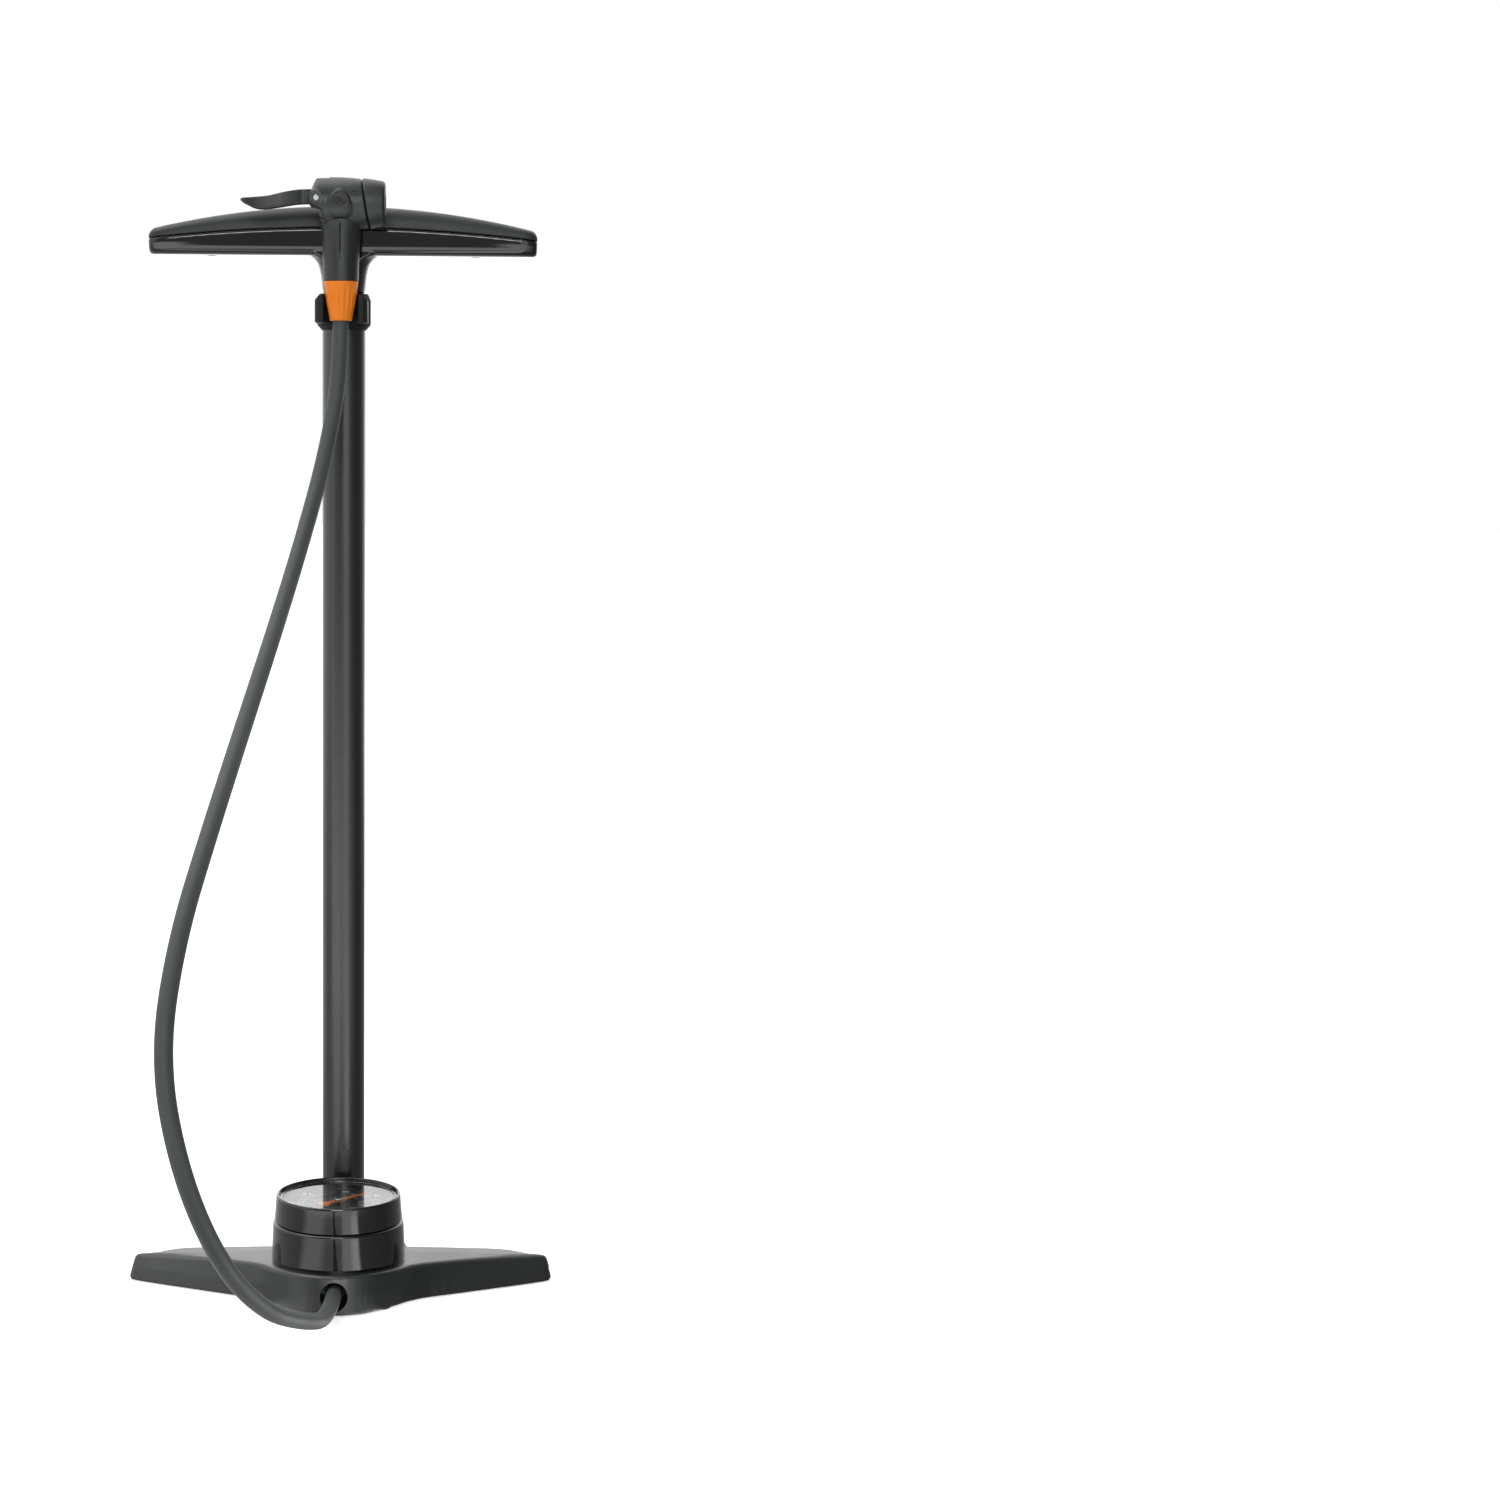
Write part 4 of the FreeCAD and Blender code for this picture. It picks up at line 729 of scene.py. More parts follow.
class PUMP_OT_gauge(bpy.types.Operator):
    """Makes the gauge's polished case, lens, dial printing and pointer."""

    bl_idname = "pump.gauge"
    bl_label = "Gauge"

    def execute(self, context):
        self.case()
        self.lens()
        self.printing(context.scene.pump_sizes)
        self.pointer()
        return {"FINISHED"}

    def case(self):
        """Tapered housing let into the foot, and the rounded bezel over it."""
        r, top, low = HOUSING_R, HOUSING_TOP, HOUSING_FOOT - 1.5
        housing = turned_profile([
            (r - 6, low), (r, low), (r - 0.2, low + 5), (r - 1.0, top - 1.0), (r - 2.4, top),
            (r - 6, top), (r - 6, low + 3),
        ], 0.6)
        shell = lathe("gauge_housing_skin", housing, GAUGE, steps=192)
        crisp(shell, 45)
        place_piece(shell, "pump_base", "gloss", ["gauge_housing"])
        r, low, high = round_size("gauge_bezel")
        dial = DIAL_TOP / MM
        bezel = turned_profile([
            (r - 2.6, low), (r - 0.6, low), (r + 0.2, low + 0.8), (r - 0.4, low + 8),
            (r - 0.9, high - 1.2), (r - 1.2, high - 0.4), (r - 1.8, high), (r - 2.4, high - 0.15),
            (r - 2.9, high - 0.8), (r - 3.0, high - 3.0), (r - 3.6, high - 3.05), (r - 3.6, dial),
            (r - 2.6, dial),
        ], 0.4)
        ring = lathe("gauge_bezel_skin", bezel, GAUGE, steps=192)
        crisp(ring, 45)
        place_piece(ring, "pump_base", "gloss", ["gauge_bezel"])

    def lens(self):
        """Clear cover with a stepped, rounded rim that catches the light."""
        r, under, top = round_size("gauge_lens")
        profile = turned_profile([
            (0.0, under), (r - 3.6, under), (r, under), (r, top - 1.3), (r - 0.6, top - 0.9),
            (r - 2.2, top - 0.9), (r - 2.4, top - 1.3), (r - 6.0, top - 1.25), (0.0, top - 1.15),
        ], 0.2)
        cover = lathe("gauge_lens_skin", profile, GAUGE, steps=160)
        place_piece(cover, "pump_base", "lens", ["gauge_lens"])

    def printing(self, sizes):
        """Rings, ticks and numerals as thin ink on the dial; they read from behind the gauge."""
        white, grey = [], []
        for step in range(61):
            inner, outer, half = 23.5, 25.1, 0.15
            if step % 5 == 0:
                inner, outer, half = 22.3, 25.4, 0.26
            if step % 10 == 0:
                inner, outer, half = 21.9, 26.2, 0.45
            white.append(self.tick(pressure_angle(step * 0.2), inner, outer, half))
        for psi in range(0, 171, 2):
            inner, half = 19.7, 0.12
            if psi % 10 == 0:
                inner, half = 18.6, 0.15
            if psi % 20 == 0:
                inner, half = 17.8, 0.2
            grey.append(self.tick(pressure_angle(psi / PSI_PER_BAR), inner, 21.3, half))
        grey.append(self.ring(21.3, 22.1))
        for bar in range(0, 13, 2):
            angle = pressure_angle(bar) - (math.radians(7) if bar == 0 else 0)
            radius = {0: 28.4, 12: 28.6}.get(bar, 29.2)
            white.append(self.numeral(str(bar), angle, radius, sizes.numeral_height))
        for psi in [*range(0, 161, 20), 170]:
            radius, share = (13.4, 0.82) if psi == 170 else (14.6, 1)
            angle = pressure_angle(psi / PSI_PER_BAR)
            grey.append(self.numeral(str(psi), angle, radius, sizes.small_numeral_height * share))
        for ink, unit, bearing in ((white, "bar", 84), (grey, "psi", 101)):
            ink.append(self.numeral(unit, math.radians(bearing), 25.2, 2.4 * MM))
        place_piece(merged("dial_white_print", white), "pump_base", "white_ink")
        place_piece(merged("dial_grey_print", grey), "pump_base", "grey_ink")

    def tick(self, angle, inner, outer, half):
        """Stroke between two radii at this angle, half mm to each side of its middle line."""
        outward = Vector((math.cos(angle), math.sin(angle)))
        side = Vector((-outward.y, outward.x)) * half
        corners = [
            outward * r + side * k for r, k in ((inner, -1), (outer, -1), (outer, 1), (inner, 1))
        ]
        return plate("tick", [(p.x * MM, GAUGE.y + p.y * MM) for p in corners], DIAL_TOP, INK_TOP)

    def ring(self, inner, outer):
        """Open ring round the dial, with a bare gap towards the barrel."""
        gap, steps = math.radians(15), 160
        start, sweep = math.pi / 2 + gap, math.tau - 2 * gap
        section = [(outer, DIAL_TOP), (outer, INK_TOP), (inner, INK_TOP), (inner, DIAL_TOP)]
        rings = []
        for k in range(steps + 1):
            a = start + sweep * k / steps
            rings.append([
                GAUGE + Vector((r * MM * math.cos(a), r * MM * math.sin(a), z)) for r, z in section
            ])
        return loft("scale_ring", rings)

    def numeral(self, text, angle, radius, height):
        """Raised lettering, turned to be read by someone behind the gauge."""
        curve = bpy.data.curves.new("numeral", "FONT")
        curve.body = text
        curve.align_x = "CENTER"
        curve.align_y = "CENTER"
        # the font's figures are 0.7 of its size, and the print is a little bolder than it
        curve.size = height * 1.42
        curve.extrude = (INK_TOP - DIAL_TOP) / 2
        curve.offset = height * 0.022
        curve.resolution_u = 4
        letter = add_object("numeral", curve)
        letter.rotation_euler = (0, 0, math.pi)
        letter.location = GAUGE + Vector((
            radius * MM * math.cos(angle), radius * MM * math.sin(angle), (DIAL_TOP + INK_TOP) / 2
        ))
        bpy.context.view_layer.update()
        graph = bpy.context.evaluated_depsgraph_get()
        mesh = bpy.data.meshes.new_from_object(letter.evaluated_get(graph))
        mesh.transform(letter.matrix_world)
        bpy.data.objects.remove(letter)
        return add_object("numeral_mesh", mesh)

    def pointer(self):
        """Tapered orange blade with a spade-shaped tail, and its silver hub."""
        low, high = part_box("pointer")
        outline = [
            (29.0, 0.0), (3.6, 1.5), (2.4, 2.5), (0.0, 2.9), (-2.6, 2.3), (-6.0, 1.9), (-9.0, 2.7)
        ]
        outline += [(-12.4, 4.9), (-13.3, 4.6), (-14.2, 2.4), (-14.5, 0.0)]
        outline += [(x, -y) for x, y in outline[-2:0:-1]]
        c, s = math.cos(pressure_angle(0)), math.sin(pressure_angle(0))
        turned = [((x * c - y * s) * MM, GAUGE.y + (x * s + y * c) * MM) for x, y in outline]
        blade = rounded(plate("pointer_blade", turned, low.z, high.z), 0.12 * MM, 2)
        place_piece(blade, "gauge_pointer", "accent", ["pointer"])
        top = high.z / MM
        hub = turned_profile([
            (0, top), (2.9, top), (2.9, top + 0.6), (2.5, top + 1.1), (1.2, top + 1.2),
            (0, top + 1.0),
        ], 0.2)
        cap = lathe("pointer_hub_skin", hub, GAUGE, steps=64)
        place_piece(cap, "gauge_pointer", "steel", ["pointer_hub"])


# ------------------------------------------------------------------ handle
def crown(x):
    """Height of the handle's top line at x, in mm."""
    return HANDLE_BOTTOM + 29.9 - 13.6 * (x / (HANDLE_REACH - 4)) ** 2


def parting(x):
    """Height of the joint between grip and lower body at x, in mm."""
    return HANDLE_BOTTOM + 16.5 - 7.0 * (x / HANDLE_REACH) ** 2


def handle_stations():
    """Places along the handle at which its section is drawn, closer together round its ends."""
    inner = [HANDLE_REACH * (-0.88 + 1.76 * k / 24) for k in range(25)]
    ends = [
        HANDLE_REACH - e for e in (11, 9.2, 7.6, 6.2, 5.0, 4.0, 3.0, 2.2, 1.5, 0.9, 0.4, 0.1, 0)
    ]
    return [-x for x in reversed(ends)] + inner + ends


class PUMP_OT_handle(bpy.types.Operator):
    """Shapes the two-part cross handle, its column and its raised badge."""

    bl_idname = "pump.handle"
    bl_label = "Handle"

    def execute(self, context):
        self.grip()
        self.lower_body()
        self.badge()
        return {"FINISHED"}

    def grip(self):
        """Matte upper shell: a full arch with a crisp lower lip."""
        rings, steps = [], 18
        for x in handle_stations():
            low = parting(x) + 0.25
            high = crown(x) - 4.0 * end_turn(x, HANDLE_REACH, 4.0)
            half = 15.0 - 5.5 * end_turn(x, HANDLE_REACH, 11.0)
            ring = [Vector((x, -half + 0.5, low)), Vector((x, -half, low + 0.5))]
            for k in range(1, steps):
                a = math.pi * k / steps
                y = -half * math.copysign(abs(math.cos(a)) ** 0.62, math.cos(a))
                z = low + 0.5 + (high - low - 0.5) * math.sin(a) ** 0.72
                ring.append(Vector((x, y, z)))
            ring += [Vector((x, half, low + 0.5)), Vector((x, half - 0.5, low))]
            rings.append([p * MM for p in ring])
        shell = loft("handle_grip_skin", rings)
        crisp(shell, 40)
        place_piece(shell, "handle", "grip", ["handle_grip"])

    def lower_body(self):
        """Polished lower half with its column, blended at the root."""
        rings = []
        for x in handle_stations():
            top = parting(x) - 0.1
            bottom = HANDLE_BOTTOM + 2.0 * end_turn(x, HANDLE_REACH, 3.0)
            half = 15.2 - 5.5 * end_turn(x, HANDLE_REACH, 11.0)
            ring = [
                Vector((x, -half + 0.6, top)), Vector((x, -half, top - 0.7)),
                Vector((x, -half + 0.3, top - 4.0))
            ]
            corner = min(6.0, (top - bottom) * 0.62)
            for k in range(7):
                a = math.pi / 2 * k / 6
                ring.append(Vector((
                    x, -half + 0.6 + corner * (1 - math.cos(a)), bottom + corner * (1 - math.sin(a))
                )))
            ring += [Vector((x, -p.y, p.z)) for p in reversed(ring)]
            rings.append([p * MM for p in ring])
        beam = loft("handle_beam", rings)
        low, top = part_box("handle_body")[0].z / MM, HANDLE_BOTTOM
        profile = turned_profile([
            (0, low), (12.6, low), (13.0, low + 2), (13.9, low + 10), (14.9, top - 7.5),
            (16.0, top - 4.2), (18.2, top - 1.6), (21.5, top + 0.4), (21.5, top + 5), (0, top + 5),
        ], 0.8)
        column = lathe("handle_column", profile, ORIGIN)
        # the flare at the column's head stays within the beam's depth
        limit = 13.6 * MM
        for vertex in column.data.vertices:
            if vertex.co.z > (top - 6) * MM:
                vertex.co.y = max(-limit, min(limit, vertex.co.y))
        whole = merged("handle_lower_skin", [beam, column])
        blended_skin(whole, 0.8 * MM, 3)
        cut_with(whole, [
            cylinder(
                "cut_screw", 3.4 * MM, Vector((x, 0, top - 2)) * MM, Vector((x, 0, top + 4)) * MM,
                32
            )
            for x in (-80, 80)
        ])
        place_piece(whole, "handle", "gloss", ["handle_body"])

    def badge(self):
        """Round rim and plain disc on the crown."""
        r, base, top = round_size("badge_ring")
        rim = turned_profile([
            (r - 3.2, base), (r, base), (r, top - 1.0), (r - 0.8, top), (r - 2.0, top),
            (r - 3.2, top - 1.6),
        ], 0.45)
        ring = lathe("badge_rim", rim, ORIGIN, steps=128)
        place_piece(ring, "handle", "gloss", ["badge_ring"])
        face = turned_profile(
            [(0, base), (r - 3.2, base), (r - 3.2, top - 2.0), (0, top - 1.5)], 0.3
        )
        disc = lathe("badge_face", face, ORIGIN, steps=96)
        place_piece(disc, "handle", "matte", ["badge_disc"])


# ------------------------------------------------------------------ valve head
def drum_radius(x):
    """The drum narrows towards its mouth; both in mm, x from the neck's axis."""
    return 15.5 - 0.0022 * max(0.0, x + 6.0) ** 2


def rake(obj, start, end):
    """Leans the joint face near end over, its top to the left; nothing moves at start."""
    for vertex in obj.data.vertices:
        share = clamp((vertex.co.x / MM - start) / (end - start))
        vertex.co.x -= share * (1.2 * MM + 0.16 * (vertex.co.z - HEAD.z))


# Top and underside of the thumb lever, an S seen from the side: (distance from the pivot, height)
# in mm.
LEVER_TOP = [
    (-46, -0.3), (-45, 0.3), (-40, 0.5), (-34, 0.9), (-28, 1.6), (-22, 3.1), (-16, 4.5), (-10, 5.5),
    (-4, 5.8), (4, 5.6),
]
LEVER_UNDER = [
    (-46, -0.9), (-44.5, -2.2), (-42, -3.5), (-38, -5.4), (-34, -6.0), (-29.7, -5.8), (-23.7, -4.9),
    (-14, -3.4), (-9, -3.0), (4, -3.0),
]


class PUMP_OT_head(bpy.types.Operator):
    """Moulds the valve head: drum, arched boss, neck, collar, end cap and thumb lever."""

    bl_idname = "pump.head"
    bl_label = "Valve head"

    def execute(self, context):
        names = [
            self.body(), self.neck(), self.collar(), self.cap(), self.pin(), self.lever(),
            self.badge()
        ]
        carried = ["head_barb", "valve_seal", "head_plunger", "plunger_o_ring"]
        context.scene.pump_head_pieces = ",".join(names + [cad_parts[n].name for n in carried])
        return {"FINISHED"}

    def body(self):
        """Drum with a raked left end, cut open for the lever, and the boss over the neck."""
        left, right = (p.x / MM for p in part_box("head_body"))
        drum = lathe(
            "head_drum",
            turned_profile([
                (0, left), (7.8, left), (drum_radius(-14) - 0.1, left + 4.0),
                (drum_radius(-8), left + 9), (drum_radius(0), 0), (drum_radius(8), 8),
                (drum_radius(right), right - 0.2), (0, right - 0.2),
            ], 1.2),
            HEAD, "X", 96,
        )
        rake(drum, 6.0, right)
        corner_low = prism(
            "cut_corner",
            [(x * MM, PIVOT.z + z * MM) for x, z in (
                (-30, -4.6), (-13.8, -4.6), (-10.8, -6.4), (-9.6, -11), (-9.6, -25), (-30, -25),
            )],
            HEAD.y - 0.03, HEAD.y + 0.03,
        )
        cut_with(drum, [corner_low])
        skirt = lathe(
            "head_skirt",
            [(0, -9.2), (12.5, -9.2), (13.0, -8.4), (13.0, -2), (0, -2)],
            HEAD, steps=96,
        )
        ears = cross_pin("head_ears", 4.3, PIVOT, -15.3, 14.0)
        body = merged("valve_head_skin", [drum, self.boss(), skirt, ears])
        blended_skin(body, 0.45 * MM, 2)
        half = 5.7 * MM
        slot = plate(
            "cut_slot",
            rectangle(left * MM - 0.01, PIVOT.x + 7.3 * MM, HEAD.y - half, HEAD.y + half),
            PIVOT.z - 7.6 * MM, HEAD.z + 0.03,
        )
        bore = cylinder("cut_bore", 10.4 * MM, *(HEAD + Vector((x, 0, 0)) * MM for x in (-9, 30)))
        badge = cross_pin("cut_badge", 3.6, BADGE, -10.0, 1.2)
        # a fine moulded circle beside the boss
        mark = lathe("cut_mark", rectangle(1.5, 1.75, -1, 1), ORIGIN, steps=48)
        place = Matrix.Translation(HEAD + Vector((8.6, -14.2, 5.0)) * MM)
        mark.data.transform(place @ Matrix.Rotation(math.radians(70), 4, "X"))
        pin = cross_pin("cut_pin", 2.15, PIVOT, -30.0, -14.2, 32)
        cut_with(body, [slot, bore, badge, mark, pin])
        crisp(body, 50)
        place_piece(body, "pump_base", "head", ["head_body"])
        return body.name

    def boss(self):
        """Pointed shield that carries the badge and runs down into the neck."""
        rows = [
            (-9.2, 12.3, 13.2), (-8.4, 11.6, 14.2), (-6.6, 10.0, 15.6), (-4.0, 8.3, 16.6),
            (-1.5, 7.0, 17.0), (1.0, 6.1, 17.1), (3.0, 5.2, 16.9), (4.8, 4.1, 16.4),
            (6.2, 2.8, 15.8), (7.4, 1.0, 15.0),
        ]
        rings = []
        for height, half, depth in rows:
            face = [half * (k / 8 - 1) for k in range(17)]
            ring = [Vector((x, -math.sqrt(depth ** 2 - x ** 2), height)) for x in face]
            ring += [Vector((half, -6, height)), Vector((-half, -6, height))]
            rings.append([HEAD + p * MM for p in ring])
        return loft("head_boss", rings)

    def pin(self):
        """Lever pin with a slotted silver head."""
        head = rounded(cross_pin("pin_head", 1.9, PIVOT, -15.0, -13.8), 0.4 * MM)
        pin = merged("lever_pin_skin", [head, cross_pin("pin_shank", 1.45, PIVOT, -14.0, 13.0, 32)])
        front, across, tall = PIVOT.y - 15.0 * MM, 0.3 * MM, 4 * MM
        slot = prism(
            "cut_slit",
            rectangle(PIVOT.x - across, PIVOT.x + across, PIVOT.z - tall, PIVOT.z + tall),
            front - 1 * MM, front + 0.5 * MM,
        )
        cut_with(pin, [slot])
        crisp(pin, 40)
        place_piece(pin, "pump_base", "pin", ["lever_pin"])
        return pin.name

    def neck(self):
        """Tapered neck with a fine front slit and a soft shoulder under the boss."""
        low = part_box("head_neck")[0].z / MM
        top = HEAD.z / MM - 9.4
        profile = turned_profile([
            (7.2, low), (10.5, low), (10.7, low + 8), (11.1, low + 20), (11.8, top - 6),
            (12.8, top - 1), (12.6, top), (7.2, top),
        ], 0.4)
        neck = lathe("head_neck_skin", profile, Vector((0, HEAD.y, 0)), steps=96)
        slit = plate(
            "cut_slit", rectangle(-0.3 * MM, 0.3 * MM, HEAD.y - 20 * MM, HEAD.y - 10 * MM),
            (low + 18) * MM, (top - 3) * MM,
        )
        cut_with(neck, [slit])
        place_piece(neck, "pump_base", "head", ["head_neck"])
        return neck.name

    def collar(self):
        """Orange sleeve with shallow flutes, narrowing on to the hose."""
        low, high = (p.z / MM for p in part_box("hose_collar"))
        inner, flute_count, flute_depth = 4.9, 16, 0.5
        corners = [
            (inner, low), (6.2, low), (6.75, low + 0.7), (8.4, low + 9.5), (9.6, low + 17.0),
            (10.25, high - 1.4), (10.3, high - 0.1), (inner, high - 0.1),
        ]
        profile = turned_profile(corners, 0.4, 3)

        def flutes(index, angle):
            """Hollows between the grips, fading out towards both ends."""
            radius, height = profile[index]
            share = clamp((height - low - 0.6) / 10.0) * clamp((high - 2.2 - height) / 3.0)
            wave = 0.5 + 0.5 * math.cos(flute_count * angle)
            return -flute_depth * share * wave if radius > 6 else 0.0

        collar = lathe(
            "hose_collar_skin", profile, Vector((0, HEAD.y, 0)), steps=192, ripple=flutes
        )
        place_piece(collar, "pump_base", "accent", ["hose_collar"])
        return collar.name

    def cap(self):
        """End cap with a slanted joint line and a dished mouth."""
        left, right = (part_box(node)[1].x / MM for node in ("head_body", "head_cap"))
        near, far = drum_radius(left), drum_radius(right)
        profile = turned_profile([
            (10.4, left - 5.9), (10.4, left), (near - 0.1, left + 0.1), (near + 0.5, left + 0.8),
            (drum_radius(21) + 0.3, 21), (far + 0.1, right - 1.4), (far - 1.2, right), (6.2, right),
            (4.1, right - 1.4), (4.1, left - 5.9),
        ], 0.4)
        cap = lathe("head_cap_skin", profile, HEAD, "X", 128)
        rake(cap, right - 2.0, left)
        crisp(cap, 45)
        place_piece(cap, "pump_base", "head", ["head_cap"])
        return cap.name

    def lever(self):
        """Thumb lever: broad slotted loop that swoops down from the hub."""
        count, points = 96, []
        for inside, upper in ((False, True), (True, True), (True, False), (False, False)):
            edge = 0.5 if inside else 0.0
            for angle in angles(count):
                x, y = self.slot_point(angle) if inside else self.edge_point(angle)
                z = along(LEVER_TOP, x) - edge if upper else along(LEVER_UNDER, x) + edge
                points.append(PIVOT + Vector((x, y, z)) * MM)
        loop = rounded(
            mesh_piece("lever_loop", points, quads(4, count, wrapped=True)), 1.1 * MM, 4, 40
        )
        hub = rounded(
            cross_pin("lever_hub", 5.6, PIVOT + Vector((0, 0, 0.2 * MM)), -4.9, 4.9), 0.4 * MM
        )
        whole = merged("thumb_lever_skin", [loop, hub])
        blended_skin(whole, 0.35 * MM, 3)
        place_piece(whole, "lever", "head", ["lever"])
        return whole.name

    def edge_point(self, angle):
        """Point of the lever's outer edge, seen from above, in mm from the pivot."""
        c, s = math.cos(angle), math.sin(angle)
        x = -24.0 + 21.8 * math.copysign(abs(c) ** 0.75, c)
        spread = 8.1 - 2.9 * clamp((x + 22.0) / 13.0) ** 1.2
        return x, spread * math.copysign(abs(s) ** 0.6, s)

    def slot_point(self, angle):
        """Point of the lever's finger slot, seen from above, in mm from the pivot."""
        c, s = math.cos(angle), math.sin(angle)
        x = -25.0 + 13.5 * math.copysign(abs(c) ** 0.8, c)
        return x, 4.2 * math.copysign(abs(s) ** 0.75, s) * (1 - 0.12 * (x + 25.0) / 13.5)

    def badge(self):
        """Plain round badge let into the boss."""
        disc = rounded(cross_pin("head_badge_skin", 3.45, BADGE, 0.1, 2.0), 0.3 * MM)
        place_piece(disc, "pump_base", "gloss", ["head_badge"])
        return disc.name


# ------------------------------------------------------------------ stage
# Studio brightness by bearing round the pump, in degrees from straight ahead; right is positive.
BRIGHTEST = 4.0
NEAR_FLOOR = [
    (-180, 0.8), (-130, 0.55), (-112, 0.55), (-62, 0.55), (-50, 1.6), (-28, 1.6), (-16, 0.8),
    (7, 0.85), (11, 2.1), (21, 2.1), (27, 3.2), (34, 3.6), (38, 0.4), (90, 0.2), (140, 0.3),
    (180, 0.8),
]
MIDDLE_FLOOR = [
    (-180, 1.1), (-128, 0.9), (-100, 0.5), (-75, 0.6), (-58, 2.1), (-28, 2.4), (0, 2.2), (25, 1.8),
    (45, 0.9), (67, 0.4), (80, 0.15), (140, 0.3), (180, 1.1),
]
WORLD_LEVELS = [
    (-180, 1.7), (-130, 1.2), (-110, 1.15), (-60, 1.15), (-40, 0.5), (-28, 0.35), (4, 0.35),
    (9, 1.4), (24, 1.4), (36, 0.4), (50, 0.2), (90, 0.15), (125, 0.4), (150, 1.5), (180, 1.7),
]


class PUMP_OT_stage(bpy.types.Operator):
    """Sets the pale floor, the soft lights and the camera."""

    bl_idname = "pump.stage"
    bl_label = "Stage"

    def execute(self, context):
        scene = context.scene
        self.floor(scene.pump_colours)
        self.world(scene)
        self.lamp("overhead_soft", (-0.7, 0.0, 2.3), (0, 0, 0.4), 1.6, 1.6, 15)
        self.lamp("front_soft", (0.0, -2.6, 1.3), (0, 0, 0.1), 1.0, 0.8, 17)
        self.camera(scene)
        scene.view_settings.view_transform = "Standard"
        return {"FINISHED"}

    def sweep(self, tree, vector, ahead, stops):
        """Brightness of the studio by bearing round the pump, from a table of stops."""
        split = add_node(tree, "ShaderNodeSeparateXYZ", {"Vector": vector})
        forward = add_node(tree, "ShaderNodeMath", {1: split.outputs["Y"]}, operation="SUBTRACT")
        forward.inputs[0].default_value = ahead
        bearing = add_node(
            tree, "ShaderNodeMath", {0: split.outputs["X"], 1: forward.outputs[0]},
            operation="ARCTAN2"
        )
        place = add_node(
            tree, "ShaderNodeMapRange", {"Value": bearing.outputs[0]}, from_min=-math.pi,
            from_max=math.pi
        )
        ramp = add_node(tree, "ShaderNodeValToRGB", {"Fac": place.outputs["Result"]})
        elements = ramp.color_ramp.elements
        while len(elements) < len(stops):
            elements.new(0.5)
        for element, (degrees, level) in zip(elements, stops):
            element.position = (degrees + 180) / 360
            element.color = (*[level / BRIGHTEST] * 3, 1)
        level = add_node(tree, "ShaderNodeMath", {0: ramp.outputs["Color"]}, operation="MULTIPLY")
        level.inputs[1].default_value = BRIGHTEST
        return level.outputs[0]

    def chosen(self, tree, inputs, seen, unseen):
        """First shader for rays of the given kinds, second for all others."""
        path = add_node(tree, "ShaderNodeLightPath")
        either = add_node(
            tree, "ShaderNodeMath", {0: path.outputs[inputs[0]], 1: path.outputs[inputs[1]]},
            operation="MAXIMUM"
        )
        mix = add_node(tree, "ShaderNodeMixShader", {"Fac": either.outputs[0], 1: unseen, 2: seen})
        return mix.outputs[0]

    def backdrop_material(self, colours):
        """Pale paper, white to the eye but for its shadows, and unevenly lit in reflections."""
        material = new_material("studio_paper")
        tree = material.node_tree
        paper = add_node(tree, "ShaderNodeBsdfDiffuse", Color=linear(colours.floor))
        # enough light of its own to be white wherever no shadow falls
        glow = add_node(tree, "ShaderNodeEmission", Color=(1, 1, 1, 1), Strength=0.55)
        both = add_node(tree, "ShaderNodeAddShader", {0: paper.outputs[0], 1: glow.outputs[0]})
        place = add_node(tree, "ShaderNodeTexCoord").outputs["Object"]
        reach = add_node(tree, "ShaderNodeVectorMath", {0: place}, operation="DISTANCE")
        reach.inputs[1].default_value = GAUGE
        level = self.sweep(tree, place, GAUGE.y, NEAR_FLOOR)
        for start, end, stops in ((0.5, 0.7, MIDDLE_FLOOR), (2.0, 3.0, WORLD_LEVELS)):
            share = add_node(
                tree, "ShaderNodeMapRange", {"Value": reach.outputs["Value"]}, from_min=start,
                from_max=end
            )
            outer = self.sweep(tree, place, GAUGE.y, stops)
            mixed = add_node(
                tree, "ShaderNodeMix", {"Factor": share.outputs["Result"], 2: level, 3: outer}
            )
            level = mixed.outputs[0]
        mirrored = add_node(tree, "ShaderNodeEmission", {"Strength": level}, Color=(1, 1, 1, 1))
        dull = add_node(tree, "ShaderNodeBsdfDiffuse", Color=linear(colours.floor_bounce))
        rest = self.chosen(
            tree, ("Is Glossy Ray", "Is Singular Ray"), mirrored.outputs[0], dull.outputs[0]
        )
        surface_out = self.chosen(
            tree, ("Is Camera Ray", "Is Transmission Ray"), both.outputs[0], rest
        )
        add_node(tree, "ShaderNodeOutputMaterial", {"Surface": surface_out})
        return material

    def floor(self, colours):
        size = 14.0
        corners = [Vector((x * size, y * size, 0)) for x, y in ((-1, -1), (1, -1), (1, 1), (-1, 1))]
        floor = mesh_piece("studio_floor", corners, [(0, 1, 2, 3)])
        floor.data.materials.append(self.backdrop_material(colours))

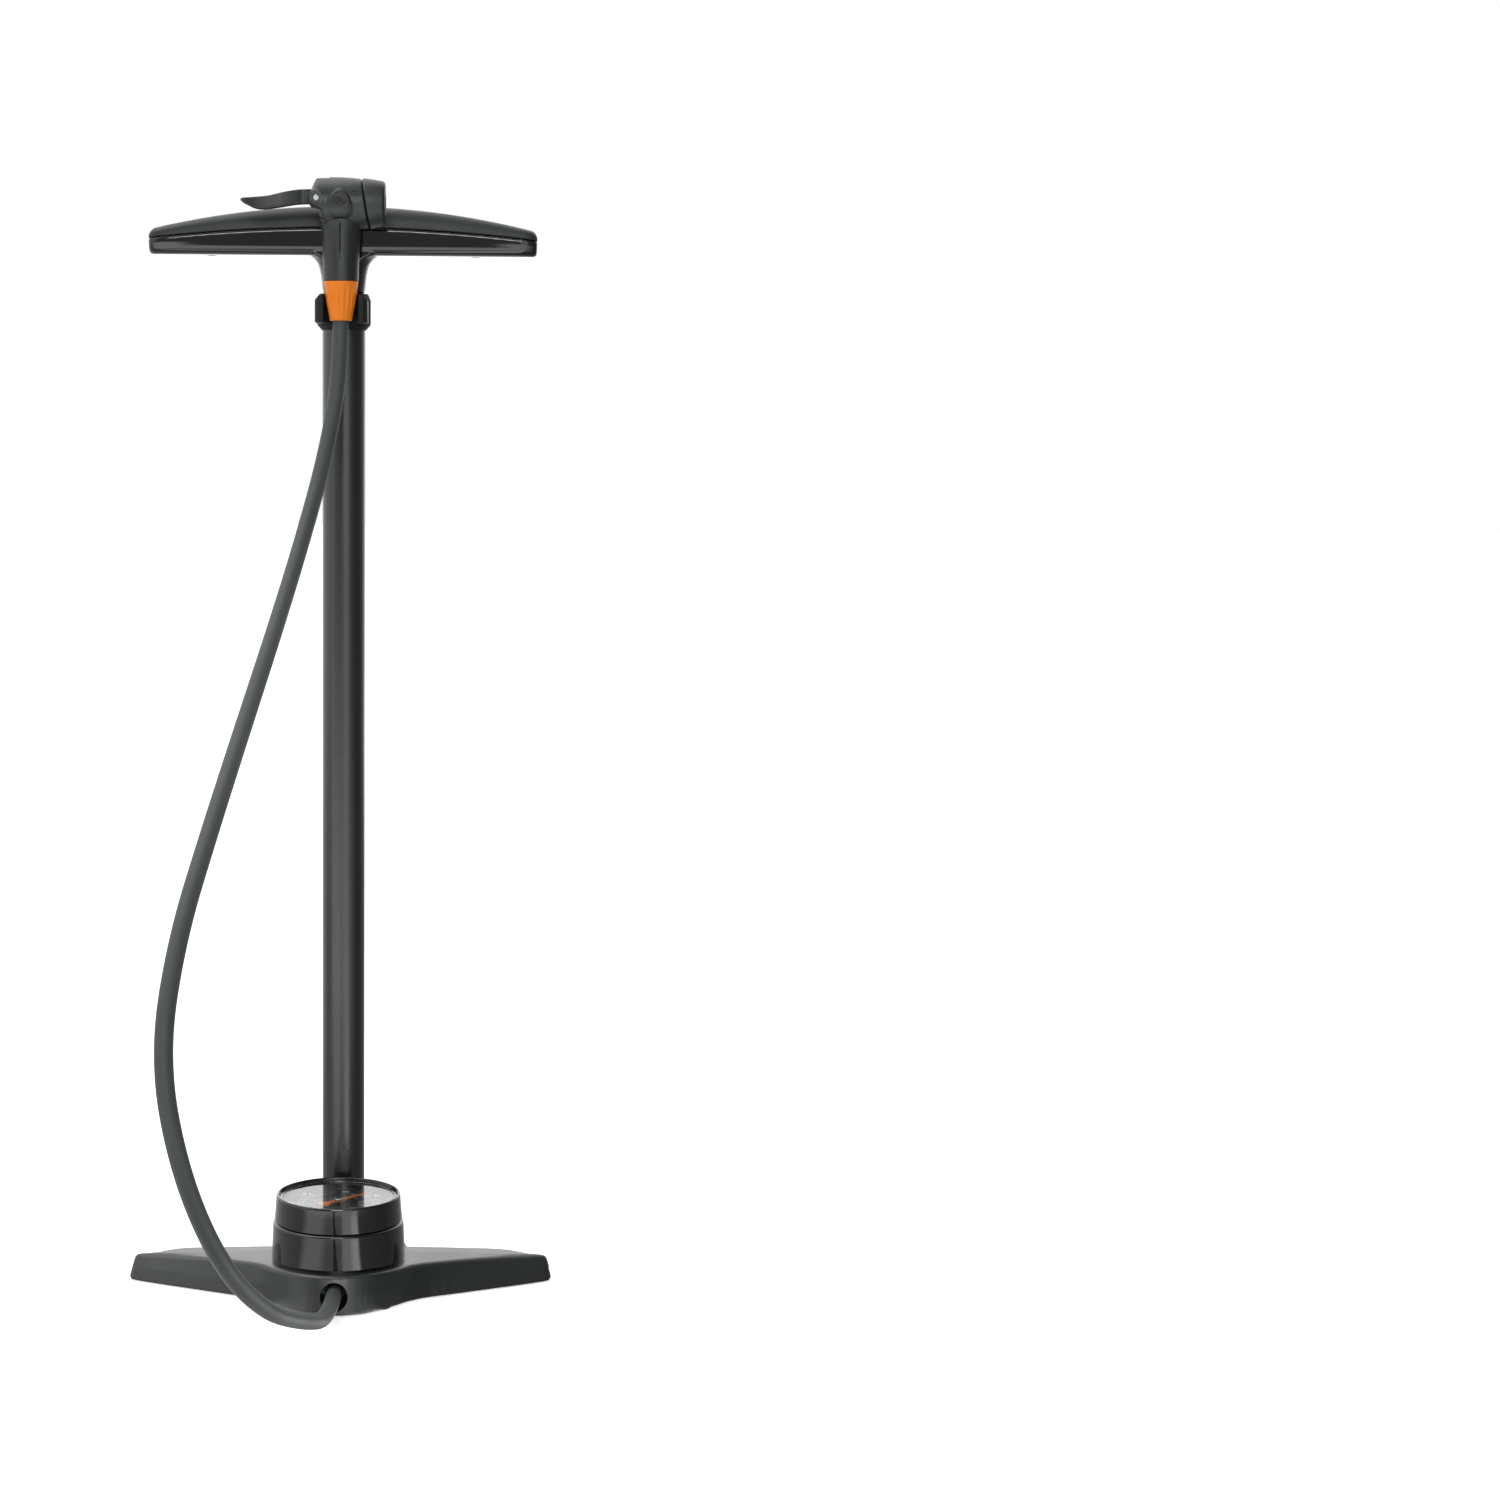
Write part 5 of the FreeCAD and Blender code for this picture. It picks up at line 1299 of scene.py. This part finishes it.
    def world(self, scene):
        """Light that is strongest behind and at the front left, and a white backdrop to the eye."""
        world = bpy.data.worlds.new("studio")
        scene.world = world
        world.use_nodes = True
        tree = world.node_tree
        tree.nodes.clear()
        direction = add_node(tree, "ShaderNodeTexCoord").outputs["Generated"]
        level = self.sweep(tree, direction, 0.0, WORLD_LEVELS)
        light = add_node(tree, "ShaderNodeBackground", {"Strength": level}, Color=(1, 1, 1, 1))
        white = add_node(tree, "ShaderNodeBackground", Color=(1, 1, 1, 1), Strength=1.0)
        shown = self.chosen(
            tree, ("Is Camera Ray", "Is Transmission Ray"), white.outputs[0], light.outputs[0]
        )
        add_node(tree, "ShaderNodeOutputWorld", {"Surface": shown})

    def lamp(self, name, place, target, width, height, power):
        data = bpy.data.lights.new(name, "AREA")
        data.shape = "RECTANGLE"
        data.size = width
        data.size_y = height
        data.energy = power
        lamp = add_object(name, data)
        lamp.location = place
        lamp.rotation_euler = (Vector(target) - Vector(place)).to_track_quat("-Z", "Y").to_euler()

    def camera(self, scene):
        """Standing view from a little right of the pump and just below handle height."""
        data = bpy.data.cameras.new("studio_camera")
        data.lens = 69.09
        data.sensor_width = 36.0
        data.shift_x = 0.14
        data.shift_y = -0.02
        camera = add_object("studio_camera", data)
        camera.location = (0.0966, -1.7682, 0.5223)
        yaw, pitch, roll = math.radians(-0.792), math.radians(90 - 5.74), math.radians(0.421)
        turn = Matrix.Rotation(yaw, 3, "Z") @ Matrix.Rotation(pitch, 3, "X") @ Matrix.Rotation(
            roll, 3, "Z"
        )
        camera.rotation_euler = turn.to_euler()
        scene.camera = camera


# ------------------------------------------------------------------ panel
STEPS = [
    PUMP_OT_inner_pieces, PUMP_OT_barrel, PUMP_OT_foot, PUMP_OT_gauge, PUMP_OT_handle, PUMP_OT_head,
    PUMP_OT_hose,
    PUMP_OT_stage,
]


class PUMP_PT_panel(bpy.types.Panel):
    """Lists the pump's sizes, colours and steps."""

    bl_idname = "PUMP_PT_panel"
    bl_label = "Floor pump"
    bl_space_type = "VIEW_3D"
    bl_region_type = "UI"
    bl_category = "Pump"

    def draw(self, context):
        for group in (context.scene.pump_sizes, context.scene.pump_colours):
            box = self.layout.box()
            for key in group.__annotations__:
                box.prop(group, key)
        for step in STEPS:
            self.layout.operator(step.bl_idname)


CLASSES = [PumpSizes, PumpColours, *STEPS, PUMP_PT_panel]


def register():
    for item in CLASSES:
        bpy.utils.register_class(item)
    bpy.types.Scene.pump_sizes = bpy.props.PointerProperty(type=PumpSizes)
    bpy.types.Scene.pump_colours = bpy.props.PointerProperty(type=PumpColours)
    bpy.types.Scene.pump_head_pieces = bpy.props.StringProperty(
        name="Head pieces", description="Names of the pieces carried by the hose's far end",
        default=""
    )


def unregister():
    del bpy.types.Scene.pump_head_pieces
    del bpy.types.Scene.pump_colours
    del bpy.types.Scene.pump_sizes
    for item in reversed(CLASSES):
        bpy.utils.unregister_class(item)


def main():
    register()
    make_materials(bpy.context.scene.pump_colours)
    for step in STEPS:
        group, action = step.bl_idname.split(".")
        getattr(getattr(bpy.ops, group), action)()


if __name__ == "__main__":
    main()
